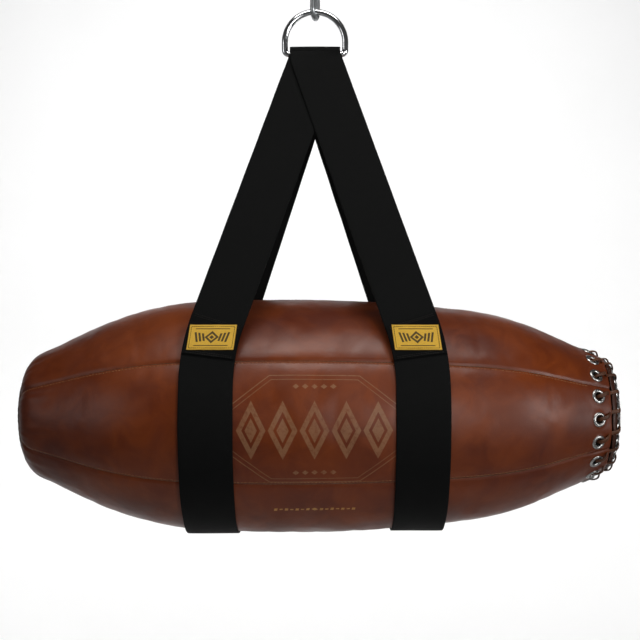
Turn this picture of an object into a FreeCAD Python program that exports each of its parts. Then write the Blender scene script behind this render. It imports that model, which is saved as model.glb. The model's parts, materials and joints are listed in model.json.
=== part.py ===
import FreeCAD, Part
import math
import os

from FreeCAD import Vector

# Horizontal leather heavy bag, hung in two webbing slings from a steel D-ring.
# Millimetres. +Z is up, +X runs along the bag to its laced end and -Y is the front.
# The origin is the eye of the hanging link, where a hook takes the weight.

# Hanging link
link_wire = 8.0
link_inner_width = 18.0
link_inner_length = 66.0
link_turn = -15.0  # how far the link is turned about the vertical
weld_bead = 0.6  # how far the link's weld stands proud
weld_rounding = 0.54
weld_length = 7.0

# D-ring
ring_wire = 9.5
ring_inner_width = 82.0
ring_height = 73.5
ring_corner_radius = 6.5
ring_play = 0.7  # air between the link and the ring's bow

# Slings
strap_width = 76.0
strap_thickness = 2.2
strap_play = 0.3  # air between the inner sling and the ring's bar
strap_stack = 1.1 * strap_thickness  # air between the two slings on the bar
strap_lift = 0.5  # air between a sling and the leather
sling_spacing = 302.0
bar_to_axis = 546.0
top_bend_radius = 50.0
low_bend_radius = 300.0
lap_length = 56.0  # the webbing's end, sewn over itself on the front leg
label_height_on_leg = 117.0  # label centre above the bag's axis
label_width = 66.0
label_height = 37.0
label_thickness = 0.8
label_lean = 7.0
label_border = 3.0
thread = 0.7
stitch_row = 62.0
stitch_inset = 4.5

# Leather cover: a barrel with a round nose at the left and a laced mouth at the right
belly_length = 400.0  # between the two shoulders
belly_radius = 176.0
left_shoulder_drop = 4.2  # how far the belly has fallen where the left shoulder starts
right_shoulder_drop = 16.4  # and the right one
crown_share = 0.3375  # place of the widest point along the belly
left_shoulder_radius = 445.0
right_shoulder_radius = 406.0
left_taper_angle = 25.0
right_taper_angle = 24.0
left_taper_length = 82.8
right_taper_length = 92.0
nose_radius = 48.0
nose_angle = 75.0
panel_count = 6
leather = 2.6
seam_gap = 0.4

# Layers under the leather, from the outside in
layer_gap = 0.1
tape_width = 20.0
tape_thickness = 1.0
lining_thickness = 0.8
foam_thickness = 20.0
sack_thickness = 1.0

# Left end
disc_thickness = 3.0
disc_puff = 10.0
disc_gap = 0.4
left_pad_thickness = 18.0

# Laced end
facing_width = 32.0
facing_thickness = 2.0
mouth_clear = 35.0  # the soft layers stop this far back from the mouth
eyelet_pitch = 34.0
eyelet_flange = 21.5
hem_margin = 6.75  # from the mouth to the eyelet's flange, along the leather
eyelet_hole = 11.0
eyelet_back = eyelet_flange / 2 + hem_margin
eyelet_wall = 0.7
eyelet_dome = 1.6
eyelet_lip = 1.4
washer_thickness = 0.6
hole_play = 0.15
cap_rise = 31.0  # from the mouth to the top of the cap
cap_dome_radius = 190.0
cap_edge_inset = 10.2  # edge of the dome, inside the mouth's radius
cap_edge_radius = 8.0
cap_edge_angle = 85.0
cap_thickness = 3.0
cap_eyelet_lap = 0.75  # how far a flange reaches over the dome's edge
backing_thickness = 2.0
end_pad_clear = 2.25  # from the pad's waist to the cap's washers
end_pad_base_inset = 14.2  # inside the mouth's radius
end_pad_step = 5.0
end_pad_slope = 10.0

# Lace
lace_diameter = 4.4
lace_over = 5.4  # centre of the lace above an eyelet's leather
lace_under = 11.0  # centre of the lace below an eyelet's leather
rim_back = 4.0  # where the lace turns back inside the rim
rim_drop = 7.0
return_back = 4.0
return_drop = 9.0
bend_share = 0.45  # share of the shorter run that a bend takes up
rim_turn = 0.16  # how far round each bend is, in eyelet pitches from the cover's eyelet
edge_turn = 0.36
cap_turn = 0.5
inside_turn = 0.68
cover_turn = 0.88
knot_radius = 5.5
knot_length = 9.0
knot_rounding = 1.8

# Mass of a cubic millimetre, for hanging the bag level
leather_density = 900e-9
textile_density = 300e-9
steel_density = 7850e-9
board_density = 1100e-9

# Heights that follow from the sizes above
link_radius = (link_inner_width + link_wire) / 2
link_straight = link_inner_length - link_inner_width
swing_z = -link_straight - link_radius
bow_z = swing_z + (link_wire + ring_wire) / 2 + ring_play
ring_half = (ring_inner_width + ring_wire) / 2
bar_z = bow_z - (ring_height - ring_wire)
axis_z = bar_z - bar_to_axis
lap_face = 3 * strap_thickness / 2  # top of the sewn lap, over the leg's middle plane

closed_within = 0.01  # ends of a tube that meet again are nearer than this

AXIS = Vector(1, 0, 0)
HOME = Vector(0, 0, 0)
X, Z = 0, 1  # places in a profile point: along the bag, and out from its axis


def rad(degrees):
    return math.radians(degrees)


def normal(slope):
    """Outward normal of the bag's outline where it rises by slope degrees towards +X."""
    return (-math.sin(rad(slope)), math.cos(rad(slope)))


def step(point, direction, distance):
    return (point[X] + direction[X] * distance, point[Z] + direction[Z] * distance)


def at(point):
    return Vector(point[X], 0, point[Z])


def face_of(points):
    """Flat face in the XZ plane whose corners are joined by straight edges."""
    corners = [at(p) for p in points]
    return Part.Face(Part.makePolygon(corners + corners[:1]))


# ---------------------------------------------------------------- the bag's outline


def arc_radius(reach, drop):
    """Radius of an arc that is level at one end and falls by drop over reach."""
    return (reach * reach + drop * drop) / (2 * drop)


left_reach = crown_share * belly_length
right_reach = belly_length - left_reach
left_arc = arc_radius(left_reach, left_shoulder_drop)
right_arc = arc_radius(right_reach, right_shoulder_drop)


def outline():
    """Where the outline's arcs and lines meet: (point, slope, arc centre, arc radius).

    The centre and radius are those of the arc that runs on to the next entry, and None
    on a straight run. The bag's widest point is at x = 0.
    """
    left_slope = math.degrees(math.asin(left_reach / left_arc))
    right_slope = -math.degrees(math.asin(right_reach / right_arc))
    belly_left = (-left_reach, belly_radius - left_shoulder_drop)
    belly_right = (right_reach, belly_radius - right_shoulder_drop)

    left_centre = step(belly_left, normal(left_slope), -left_shoulder_radius)
    taper_top = step(left_centre, normal(left_taper_angle), left_shoulder_radius)
    down_left = (-math.cos(rad(left_taper_angle)), -math.sin(rad(left_taper_angle)))
    nose_top = step(taper_top, down_left, left_taper_length)
    nose_centre = step(nose_top, normal(left_taper_angle), -nose_radius)
    nose_tip = step(nose_centre, normal(nose_angle), nose_radius)

    right_centre = step(belly_right, normal(right_slope), -right_shoulder_radius)
    taper_start = step(right_centre, normal(-right_taper_angle), right_shoulder_radius)
    down_right = (math.cos(rad(right_taper_angle)), -math.sin(rad(right_taper_angle)))
    mouth = step(taper_start, down_right, right_taper_length)
    return [
        (nose_tip, nose_angle, nose_centre, nose_radius),
        (nose_top, left_taper_angle, None, None),
        (taper_top, left_taper_angle, left_centre, left_shoulder_radius),
        (belly_left, left_slope, (0, belly_radius - left_arc), left_arc),
        ((0, belly_radius), 0, (0, belly_radius - right_arc), right_arc),
        (belly_right, right_slope, right_centre, right_shoulder_radius),
        (taper_start, -right_taper_angle, None, None),
        (mouth, -right_taper_angle, None, None),
    ]


joints = outline()
tip, mouth = joints[0][0], joints[-1][0]
down_right = (math.cos(rad(right_taper_angle)), -math.sin(rad(right_taper_angle)))
mouth_normal = normal(-right_taper_angle)


def ends_of(depth, back):
    """The outline's corners at a depth under the leather, stopped short of the mouth."""
    corners = [step(point, normal(slope), -depth) for point, slope, _, _ in joints]
    corners[-1] = step(corners[-1], down_right, -back)
    return corners


def outline_edges(depth, back):
    corners = ends_of(depth, back)
    edges = []
    for i in range(len(corners) - 1):
        _, slope, centre, radius = joints[i]
        if centre is None:
            edges.append(Part.makeLine(at(corners[i]), at(corners[i + 1])))
            continue
        middle = step(centre, normal((slope + joints[i + 1][1]) / 2), radius - depth)
        edges.append(Part.Arc(at(corners[i]), at(middle), at(corners[i + 1])).toShape())
    return edges


def radius_at(x):
    """The bag's outer radius at a place along it."""
    rim = Part.Wire(outline_edges(0, 0))
    cut = Part.makeLine(Vector(x, 0, 0), Vector(x, 0, 2 * belly_radius))
    return rim.distToShape(cut)[1][0][0].z


def layer_face(outer_depth, inner_depth, back=0.0):
    """Half section of a layer that follows the outline between two depths."""
    outer = outline_edges(outer_depth, back)
    inner = outline_edges(inner_depth, back)
    outer_ends = ends_of(outer_depth, back)
    inner_ends = ends_of(inner_depth, back)
    left = Part.makeLine(at(inner_ends[0]), at(outer_ends[0]))
    right = Part.makeLine(at(outer_ends[-1]), at(inner_ends[-1]))
    return Part.Face(Part.Wire(Part.__sortEdges__(outer + inner + [left, right])))


def core_face(depth, back):
    """Half section of all that lies deeper than depth, closed by flat ends."""
    ends = ends_of(depth, back)
    foot_left = (ends[0][X], 0)
    foot_right = (ends[-1][X], 0)
    sides = [
        Part.makeLine(at(foot_left), at(ends[0])),
        Part.makeLine(at(ends[-1]), at(foot_right)),
        Part.makeLine(at(foot_right), at(foot_left)),
    ]
    return Part.Face(Part.Wire(Part.__sortEdges__(outline_edges(depth, back) + sides)))


def turned(face, angle=360.0):
    return face.revolve(HOME, AXIS, angle)


def around(shape, angle):
    return shape.rotated(HOME, AXIS, angle)


# ---------------------------------------------------------------- tubes and cords


def tube(edges, radius):
    """Solid round bar along edges that join smoothly; closed where they meet again."""
    start = edges[0].valueAt(edges[0].FirstParameter)
    heading = edges[0].tangentAt(edges[0].FirstParameter)
    profile = Part.Edge(Part.Circle(start, heading, radius))
    first = profile
    walls = []
    for edge in edges:
        begin = edge.valueAt(edge.FirstParameter)
        end = edge.valueAt(edge.LastParameter)
        if isinstance(edge.Curve, Part.Circle):
            turn = math.degrees(edge.LastParameter - edge.FirstParameter)
            centre, axis = edge.Curve.Center, edge.Curve.Axis
            walls.append(profile.revolve(centre, axis, turn))
            profile = profile.rotated(centre, axis, turn)
        else:
            walls.append(profile.extrude(end - begin))
            profile = profile.translated(end - begin)
    ring = end.distanceToPoint(start) < closed_within
    lids = [] if ring else [Part.Face(Part.Wire(first)), Part.Face(Part.Wire(profile))]
    shell = Part.Shell(walls + lids)
    shell.sewShape()
    solid = Part.Solid(shell)
    if solid.Volume < 0:
        solid.reverse()
    return solid


def arc(centre, start, axis, angle):
    """Arc edge from start, turned by angle degrees about axis through centre."""
    middle = turned_point(start, centre, axis, angle / 2)
    return Part.Arc(start, middle, turned_point(start, centre, axis, angle)).toShape()


def turned_point(point, centre, axis, angle):
    return centre + FreeCAD.Rotation(axis, angle).multVec(point - centre)


def rounded_route(points):
    """Straight runs between points with an arc at each one, and the arcs' radii."""
    edges, radii = [], []
    begin = points[0]
    for before, corner, after in zip(points, points[1:], points[2:]):
        to_here, onward = corner - before, after - corner
        turn = to_here.getAngle(onward)
        reach = bend_share * min(to_here.Length, onward.Length)
        radius = reach / math.tan(turn / 2)
        arc_start = corner - to_here.normalize() * reach
        arc_end = corner + onward.normalize() * reach
        inward = (onward - to_here).normalize()
        middle = corner + inward * (radius / math.cos(turn / 2) - radius)
        edges.append(Part.makeLine(begin, arc_start))
        edges.append(Part.Arc(arc_start, middle, arc_end).toShape())
        radii.append(radius)
        begin = arc_end
    edges.append(Part.makeLine(begin, points[-1]))
    return edges, radii


# ---------------------------------------------------------------- link and ring


def hanging_link():
    """Long oval link of round wire, with the bead of its weld on one side."""
    across = Vector(1, 0, 0)
    low, high = Vector(0, 0, -link_straight), HOME
    back, front = Vector(0, link_radius, 0), Vector(0, -link_radius, 0)
    route = [
        Part.makeLine(high + front, low + front),
        arc(low, low + front, across, 180),
        Part.makeLine(low + back, high + back),
        arc(high, high + back, across, 180),
    ]
    body = tube(route, link_wire / 2)
    bead_foot = back + Vector(0, 0, -(link_straight + weld_length) / 2)
    bead = Part.makeCylinder(link_wire / 2 + weld_bead, weld_length, bead_foot)
    bead = bead.makeFillet(weld_rounding, [e for e in bead.Edges if len(e.Vertexes) == 1])
    return body.fuse(bead).removeSplitter().rotated(HOME, Vector(0, 0, 1), link_turn)


def d_ring():
    bar_half = ring_half - ring_corner_radius
    bow_centre = Vector(0, 0, bow_z - ring_half)
    toward = Vector(0, -1, 0)
    right_corner = Vector(bar_half, 0, bar_z + ring_corner_radius)
    left_corner = Vector(-bar_half, 0, bar_z + ring_corner_radius)
    right_side = Vector(ring_half, 0, right_corner.z)
    right_top = Vector(ring_half, 0, bow_centre.z)
    left_top = Vector(-ring_half, 0, bow_centre.z)
    left_side = Vector(-ring_half, 0, left_corner.z)
    route = [
        Part.makeLine(Vector(-bar_half, 0, bar_z), Vector(bar_half, 0, bar_z)),
        arc(right_corner, Vector(bar_half, 0, bar_z), toward, 90),
        Part.makeLine(right_side, right_top),
        arc(bow_centre, right_top, toward, 180),
        Part.makeLine(left_top, left_side),
        arc(left_corner, left_side, toward, 90),
    ]
    return tube(route, ring_wire / 2)


# ---------------------------------------------------------------- slings


class Sling:
    """One webbing loop: over the ring's bar, down both sides and under the bag."""

    def __init__(self, side, bar_radius, bag_x):
        self.side = side
        self.foot = side * sling_spacing / 2
        self.bar_radius = bar_radius
        edges = [self.foot - bag_x - strap_width / 2, self.foot - bag_x + strap_width / 2]
        widest = max(radius_at(x) for x in edges)
        self.bag_radius = widest + strap_lift + strap_thickness / 2
        self.lean = math.asin((self.bag_radius - bar_radius) / bar_to_axis)
        self.length = bar_to_axis * math.cos(self.lean)
        bends = top_bend_radius + low_bend_radius
        reach = math.hypot(self.length, bends - abs(self.foot))
        offset = math.atan2(bends - abs(self.foot), self.length)
        self.bend = math.asin(bends / reach) - offset

    def place(self, across, down, out):
        """A point of the front leg, from its distances on the leg's own plane."""
        top = Vector(0, -math.cos(self.lean), math.sin(self.lean)) * self.bar_radius
        along = Vector(0, -math.sin(self.lean), -math.cos(self.lean))
        outward = Vector(0, -math.cos(self.lean), math.sin(self.lean))
        return Vector(across, 0, bar_z) + top + along * down + outward * out

    def upper(self, offset, angle):
        """A point on the bend by the bar; offset is from the centreline, outwards."""
        radius = top_bend_radius - offset
        across = self.side * (top_bend_radius - radius * math.cos(angle))
        return across, radius * math.sin(angle)

    def lower(self, offset, angle):
        """A point on the bend above the bag."""
        radius = low_bend_radius + offset
        centre = abs(self.foot) - low_bend_radius
        across = self.side * (centre + radius * math.cos(angle))
        return across, self.length - radius * math.sin(angle)

    def leg(self, out_from, out_to):
        """Front leg between two heights over the strap's middle plane."""
        half = strap_width / 2

        def spot(pair):
            return self.place(pair[0], pair[1], out_from)

        edges = []
        for offset in (half, -half):
            first, last = self.upper(offset, self.bend), self.lower(offset, self.bend)
            tops = [self.upper(offset, a) for a in (0, self.bend / 2)] + [first]
            lows = [last] + [self.lower(offset, a) for a in (self.bend / 2, 0)]
            edges.append(Part.Arc(*[spot(p) for p in tops]).toShape())
            edges.append(Part.makeLine(spot(first), spot(last)))
            edges.append(Part.Arc(*[spot(p) for p in lows]).toShape())
        for end in (self.upper, self.lower):
            edges.append(Part.makeLine(spot(end(half, 0)), spot(end(-half, 0))))
        face = Part.Face(Part.Wire(Part.__sortEdges__(edges)))
        outward = self.place(0, 0, out_to) - self.place(0, 0, out_from)
        return face.extrude(outward)

    def wrap(self, centre_z, middle_x, radius, start, angle):
        """Part of a hoop of webbing about a line along X."""
        low, high = middle_x - strap_width / 2, middle_x + strap_width / 2
        inner, outer = radius - strap_thickness / 2, radius + strap_thickness / 2
        hoop = face_of([(low, inner), (high, inner), (high, outer), (low, outer)])
        hoop = around(turned(hoop, angle), start)
        return hoop.translated(Vector(0, 0, centre_z))

    def label_down(self):
        """How far down the leg the label's centre is."""
        start = self.place(0, 0, 0).z
        return (start - axis_z - label_height_on_leg) / math.cos(self.lean)

    def centre_across(self, down):
        """The strap's centreline on the lower bend."""
        angle = math.asin((self.length - down) / low_bend_radius)
        return self.lower(0, angle)[0]

    def slab(self, down, height):
        """Box across the leg that reaches height/2 each way from a place down it."""
        wide = 2 * strap_width
        middle = self.centre_across(down)
        return self.plate([
            (middle - wide, down - height / 2),
            (middle + wide, down - height / 2),
            (middle + wide, down + height / 2),
            (middle - wide, down + height / 2),
        ], 0, wide)

    def plate(self, corners, out_from, out_to):
        """Flat plate over the leg, from its corners (across, down)."""
        spots = [self.place(across, down, out_from) for across, down in corners]
        face = Part.Face(Part.makePolygon(spots + spots[:1]))
        outward = self.place(0, 0, out_to) - self.place(0, 0, out_from)
        return face.extrude(outward)

    def strap(self):
        half = strap_thickness / 2
        lean = math.degrees(self.lean)
        front = self.leg(-half, half)
        back = front.mirror(HOME, Vector(0, 1, 0))
        over_bar = self.wrap(bar_z, 0, self.bar_radius, lean - 90, 180 - 2 * lean)
        under_bag = self.wrap(axis_z, self.foot, self.bag_radius, 90 - lean, 180 + 2 * lean)
        lap = self.leg(half, lap_face).common(self.slab(self.label_down(), lap_length))
        return front.multiFuse([back, over_bar, under_bag, lap]).removeSplitter()

    def label_corners(self, inset):
        """The label's corners, inset all round; its sides lean with the strap."""
        down, half_w = self.label_down(), label_width / 2 - inset
        half_h = label_height / 2 - inset
        middle = self.centre_across(down)
        lean = self.side * half_h * math.tan(rad(label_lean))
        return [
            (middle - half_w - lean, down - half_h),
            (middle + half_w - lean, down - half_h),
            (middle + half_w + lean, down + half_h),
            (middle - half_w + lean, down + half_h),
        ]

    def label_base(self):
        return lap_face + layer_gap

    def label(self):
        base = self.label_base()
        return self.plate(self.label_corners(0), base, base + label_thickness)

    def label_stitching(self):
        """Row of thread round the label, just inside its edge."""
        base = self.label_base() + label_thickness
        outer = self.plate(self.label_corners(label_border - thread), base, base + thread / 2)
        inner = self.plate(self.label_corners(label_border), base - thread, base + thread)
        return outer.cut(inner)

    def lap_stitching(self):
        """Two rows of thread that hold the webbing's end down, above and below the label."""
        reach = lap_length / 2 - stitch_inset
        rows = []
        for down in (self.label_down() - reach, self.label_down() + reach):
            middle = self.centre_across(down)
            left, right = middle - stitch_row / 2, middle + stitch_row / 2
            rows.append(self.plate([
                (left, down - thread / 2),
                (right, down - thread / 2),
                (right, down + thread / 2),
                (left, down + thread / 2),
            ], lap_face, lap_face + thread / 2))
        return rows


# ---------------------------------------------------------------- leather cover

eyelets_per_panel = max(1, round(2 * math.pi * mouth[Z] / panel_count / eyelet_pitch))
eyelet_count = panel_count * eyelets_per_panel
panel_turn = 360 / panel_count
pitch_turn = 360 / eyelet_count
front_turn = 90.0  # turns a section drawn upwards to the front
body_eyelet = step(mouth, down_right, -eyelet_back)
barrel_radius = eyelet_hole / 2 + eyelet_wall
body_stack = leather + layer_gap + facing_thickness


def body_turns():
    return [front_turn + i * pitch_turn for i in range(eyelet_count)]


def cap_turns():
    return [turn + cap_turn * pitch_turn for turn in body_turns()]


def drill(centre, direction, depth):
    """Round cutter for an eyelet's barrel."""
    start = step(centre, direction, -depth)
    axis = Vector(direction[X], 0, direction[Z])
    return Part.makeCylinder(barrel_radius + hole_play, 2 * depth, at(start), axis)


def body_holes():
    hole = drill(body_eyelet, mouth_normal, 2 * body_stack)
    return [around(hole, turn) for turn in body_turns()]


def panel(turn):
    """One lengthwise strip of the cover, centred on turn."""
    gap_turn = math.degrees(seam_gap / belly_radius)
    strip = turned(layer_face(0, leather), panel_turn - gap_turn)
    strip = around(strip, turn - (panel_turn - gap_turn) / 2)
    return strip.cut(body_holes())


def seam_tapes():
    """Strips of tape sewn behind the lengthwise seams."""
    depth = leather + layer_gap
    wide = math.degrees(tape_width / belly_radius)
    strip = turned(layer_face(depth, depth + tape_thickness, mouth_clear), wide)
    first = front_turn + panel_turn / 2 - wide / 2
    return Part.makeCompound([around(strip, first + i * panel_turn) for i in range(panel_count)])


lining_depth = leather + tape_thickness + 2 * layer_gap
foam_depth = lining_depth + lining_thickness + layer_gap
sack_depth = foam_depth + foam_thickness + layer_gap
fill_depth = sack_depth + sack_thickness + layer_gap


def shell_layer(depth, thickness):
    return turned(layer_face(depth, depth + thickness, mouth_clear))


def fill_sack():
    """Closed canvas sack round the fill."""
    outer = turned(core_face(sack_depth, mouth_clear))
    inner = turned(core_face(sack_depth + sack_thickness, mouth_clear))
    wall = Vector(sack_thickness, 0, 0)
    ends = core_face(sack_depth, mouth_clear).BoundBox
    length = ends.XLength - 2 * sack_thickness
    keep = Part.makeCylinder(2 * belly_radius, length, Vector(ends.XMin, 0, 0) + wall, AXIS)
    return outer.cut(inner.common(keep))


def textile_fill():
    core = turned(core_face(fill_depth, mouth_clear))
    box = core_face(sack_depth, mouth_clear).BoundBox
    clear = sack_thickness + layer_gap
    length = box.XLength - 2 * clear
    keep = Part.makeCylinder(2 * belly_radius, length, Vector(box.XMin + clear, 0, 0), AXIS)
    return core.common(keep)


# ---------------------------------------------------------------- round end

disc_radius = tip[Z] - disc_gap


def dome_face(rim_x, rim_radius, puff, depth, thickness):
    """Half section of a dished disc that bulges towards -X from its rim."""
    dish = (rim_radius * rim_radius + puff * puff) / (2 * puff)
    centre_x = rim_x - puff + dish
    rim_angle = math.asin(rim_radius / dish)

    def on(radius, share):
        angle = rim_angle * share
        return Vector(centre_x - radius * math.cos(angle), 0, radius * math.sin(angle))

    outer, inner = dish - depth, dish - depth - thickness
    edges = [
        Part.Arc(on(outer, 0), on(outer, 0.5), on(outer, 1)).toShape(),
        Part.makeLine(on(outer, 1), on(inner, 1)),
        Part.Arc(on(inner, 1), on(inner, 0.5), on(inner, 0)).toShape(),
        Part.makeLine(on(inner, 0), on(outer, 0)),
    ]
    return Part.Face(Part.Wire(edges))


def left_end_disc():
    return turned(dome_face(tip[X], disc_radius, disc_puff, 0, disc_thickness))


def left_end_pad():
    """Foam behind the disc, inside the mouth of the foam wrap."""
    depth = disc_thickness + layer_gap
    radius = ends_of(foam_depth + foam_thickness, mouth_clear)[0][Z] - 2 * layer_gap
    pad = turned(dome_face(tip[X], disc_radius, disc_puff, depth, left_pad_thickness))
    reach = 4 * left_pad_thickness
    return pad.common(Part.makeCylinder(radius, 2 * reach, Vector(tip[X] - reach, 0, 0), AXIS))


# ---------------------------------------------------------------- laced end

cap_eyelet_radius = mouth[Z] - cap_edge_inset - eyelet_flange / 2 + cap_eyelet_lap
end_pad_waist = cap_eyelet_radius - eyelet_flange / 2 - end_pad_clear
end_pad_base = mouth[Z] - end_pad_base_inset
cap_top = mouth[X] + cap_rise
dome_centre = cap_top - cap_dome_radius
dome_edge_radius = mouth[Z] - cap_edge_inset
dome_edge_angle = math.degrees(math.asin(dome_edge_radius / cap_dome_radius))
cap_eyelet_angle = math.degrees(math.asin(cap_eyelet_radius / cap_dome_radius))


def from_axis(angle):
    """Direction that leans angle degrees from +X towards the rim."""
    return (math.cos(rad(angle)), math.sin(rad(angle)))


def on_dome(angle, depth):
    return step((dome_centre, 0), from_axis(angle), cap_dome_radius - depth)


def on_cap_edge(angle, depth):
    centre = on_dome(dome_edge_angle, cap_edge_radius)
    return step(centre, from_axis(angle), cap_edge_radius - depth)


cap_eyelet = on_dome(cap_eyelet_angle, 0)
cap_normal = from_axis(cap_eyelet_angle)


def cap_edges(depth):
    """The cap's outline at a depth, from the axis to its turned edge."""
    half, full = dome_edge_angle / 2, dome_edge_angle
    turn_half = (full + cap_edge_angle) / 2
    dome = [on_dome(0, depth), on_dome(half, depth), on_dome(full, depth)]
    edge = [on_dome(full, depth), on_cap_edge(turn_half, depth)]
    edge.append(on_cap_edge(cap_edge_angle, depth))
    return [Part.Arc(*[at(p) for p in points]).toShape() for points in (dome, edge)]


def closure_cap():
    """Domed leather disc that closes the mouth, holed for its eyelets."""
    rim = [on_cap_edge(cap_edge_angle, 0), on_cap_edge(cap_edge_angle, cap_thickness)]
    crown = [on_dome(0, 0), on_dome(0, cap_thickness)]
    sides = [Part.makeLine(at(a), at(b)) for a, b in (rim, crown)]
    edges = cap_edges(0) + cap_edges(cap_thickness) + sides
    shell = turned(Part.Face(Part.Wire(Part.__sortEdges__(edges))))
    hole = drill(cap_eyelet, cap_normal, 2 * cap_thickness)
    return shell.cut([around(hole, turn) for turn in cap_turns()])


def cap_backing():
    """Stiff dished board behind the middle of the cap."""
    depth = cap_thickness + layer_gap
    angle = math.degrees(math.asin(end_pad_waist / cap_dome_radius))
    edges = []
    for level in (depth, depth + backing_thickness):
        arc_points = [on_dome(angle * share, level) for share in (0, 0.5, 1)]
        edges.append(Part.Arc(*[at(p) for p in arc_points]).toShape())
    for share in (0, 1):
        ends = [on_dome(angle * share, level) for level in (depth, depth + backing_thickness)]
        edges.append(Part.makeLine(at(ends[0]), at(ends[1])))
    return turned(Part.Face(Part.Wire(Part.__sortEdges__(edges))))


def right_end_pad():
    """Foam plug between the fill and the cap, waisted to clear the lace."""
    foot = ends_of(sack_depth, mouth_clear)[-1][X] + layer_gap
    depth = cap_thickness + backing_thickness + 2 * layer_gap
    angle = math.degrees(math.asin(end_pad_waist / cap_dome_radius))
    top, shoulder, rim = [on_dome(angle * share, depth) for share in (0, 0.5, 1)]
    corners = [
        rim,
        (foot + end_pad_step + end_pad_slope, end_pad_waist),
        (foot + end_pad_step, end_pad_base),
        (foot, end_pad_base),
        (foot, 0),
        top,
    ]
    edges = [Part.makeLine(at(a), at(b)) for a, b in zip(corners, corners[1:])]
    edges.append(Part.Arc(at(top), at(shoulder), at(rim)).toShape())
    return turned(Part.Face(Part.Wire(Part.__sortEdges__(edges))))


def hem_facing():
    """Leather band sewn inside the mouth, under the eyelets."""
    depth = leather + layer_gap
    near = step(mouth, mouth_normal, -depth)
    far = step(near, down_right, -facing_width)
    inner_far = step(far, mouth_normal, -facing_thickness)
    inner_near = step(near, mouth_normal, -facing_thickness)
    return turned(face_of([near, far, inner_far, inner_near])).cut(body_holes())


def sag(radius, across):
    """How far a round surface falls away under the edge of a flat disc."""
    return radius - math.sqrt(radius * radius - across * across)


def eyelet_solid(stack, clearance):
    """Eyelet on the +Z axis, its flange on the leather at z = 0, rolled over below."""
    hole, barrel = eyelet_hole / 2, barrel_radius
    flange = eyelet_flange / 2
    low = -stack - clearance - washer_thickness - 2 * layer_gap
    rise = layer_gap + eyelet_dome
    crown = Part.Arc(
        Vector(flange, 0, layer_gap),
        Vector((flange + hole) / 2, 0, rise),
        Vector(hole, 0, 0),
    ).toShape()
    corners = [
        (hole, 0),
        (hole, low - eyelet_wall),
        (barrel + eyelet_lip, low - eyelet_wall),
        (barrel + eyelet_lip, low),
        (barrel, low),
        (barrel, layer_gap),
        (flange, layer_gap),
    ]
    edges = [Part.makeLine(at(a), at(b)) for a, b in zip(corners, corners[1:])]
    section = Part.Face(Part.Wire(Part.__sortEdges__(edges + [crown])))
    return section.revolve(HOME, Vector(0, 0, 1), 360)


def washer_solid(stack, clearance):
    """Flat washer that the eyelet is rolled over, below the leather."""
    top = -stack - clearance - layer_gap
    disc = Part.makeCylinder(eyelet_flange / 2 - washer_thickness, washer_thickness)
    disc = disc.cut(Part.makeCylinder(barrel_radius + hole_play, washer_thickness))
    return disc.translated(Vector(0, 0, top - washer_thickness))


def stand(solid, centre, direction):
    """Moves a solid made on the +Z axis to a place on the bag, leaning with it."""
    lean = math.degrees(math.atan2(direction[X], direction[Z]))
    return solid.rotated(HOME, Vector(0, 1, 0), lean).translated(at(centre))


def ring_of(solid, centre, direction, turns):
    placed = stand(solid, centre, direction)
    return Part.makeCompound([around(placed, turn) for turn in turns])


body_sag = sag(body_eyelet[Z] - body_stack, eyelet_flange / 2)
cap_sag = sag(cap_dome_radius - cap_thickness, eyelet_flange / 2)


def body_ring(make):
    solid = make(body_stack, body_sag)
    return ring_of(solid, body_eyelet, mouth_normal, body_turns())


def cap_ring(make):
    return ring_of(make(cap_thickness, cap_sag), cap_eyelet, cap_normal, cap_turns())


# ---------------------------------------------------------------- lace


def around_point(point, turn):
    """A profile point carried round the bag by turn degrees."""
    return FreeCAD.Rotation(AXIS, turn).multVec(at(point))


def lace_points():
    """The lace's route: out of the cover, over the rim, into the cap and back inside."""
    under_body = step(body_eyelet, mouth_normal, -lace_under)
    over_body = step(body_eyelet, mouth_normal, lace_over)
    over_cap = step(cap_eyelet, cap_normal, lace_over)
    under_cap = step(cap_eyelet, cap_normal, -lace_under)
    rim = step(mouth, mouth_normal, lace_over)
    edge = on_cap_edge(cap_edge_angle / 2, -lace_over - lace_diameter)
    inside = (mouth[X] - rim_back, under_cap[Z] + rim_drop)
    inside_cover = (under_body[X] + return_back, under_body[Z] - return_drop)
    stages = [
        (under_body, 0),
        (over_body, 0),
        (rim, rim_turn),
        (edge, edge_turn),
        (over_cap, cap_turn),
        (under_cap, cap_turn),
        (inside, inside_turn),
        (inside_cover, cover_turn),
    ]
    points = []
    for turn in reversed(body_turns()):
        points += [around_point(point, turn - share * pitch_turn) for point, share in stages]
    return points[:-2]


def lace():
    edges, radii = rounded_route(lace_points())
    cord = tube(edges, lace_diameter / 2)
    length = sum(edge.Length for edge in edges)
    section = math.pi * lace_diameter * lace_diameter / 4
    print("lace length", round(length, 1), "volume over section x length",
          round(cord.Volume / (section * length), 4))
    print("lace radii from", round(min(radii), 1), "to", round(max(radii), 1))
    return cord


def lace_knots():
    """Stopper knots on the lace's two ends, inside the mouth."""
    points = lace_points()
    knots = []
    for end, inner in ((points[0], points[1]), (points[-1], points[-2])):
        away = (end - inner).normalize()
        ball = Part.makeCylinder(knot_radius, knot_length, end, away)
        rims = [edge for edge in ball.Edges if len(edge.Vertexes) == 1]
        knots.append(ball.makeFillet(knot_rounding, rims))
    return Part.makeCompound(knots)


# ---------------------------------------------------------------- the whole bag

panel_names = ["upper_front", "front", "lower_front", "lower_back", "back", "upper_back"]


def panel_name(index):
    if panel_count == len(panel_names):
        return "leather_panel_" + panel_names[index]
    return "leather_panel_" + str(index + 1)


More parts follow.
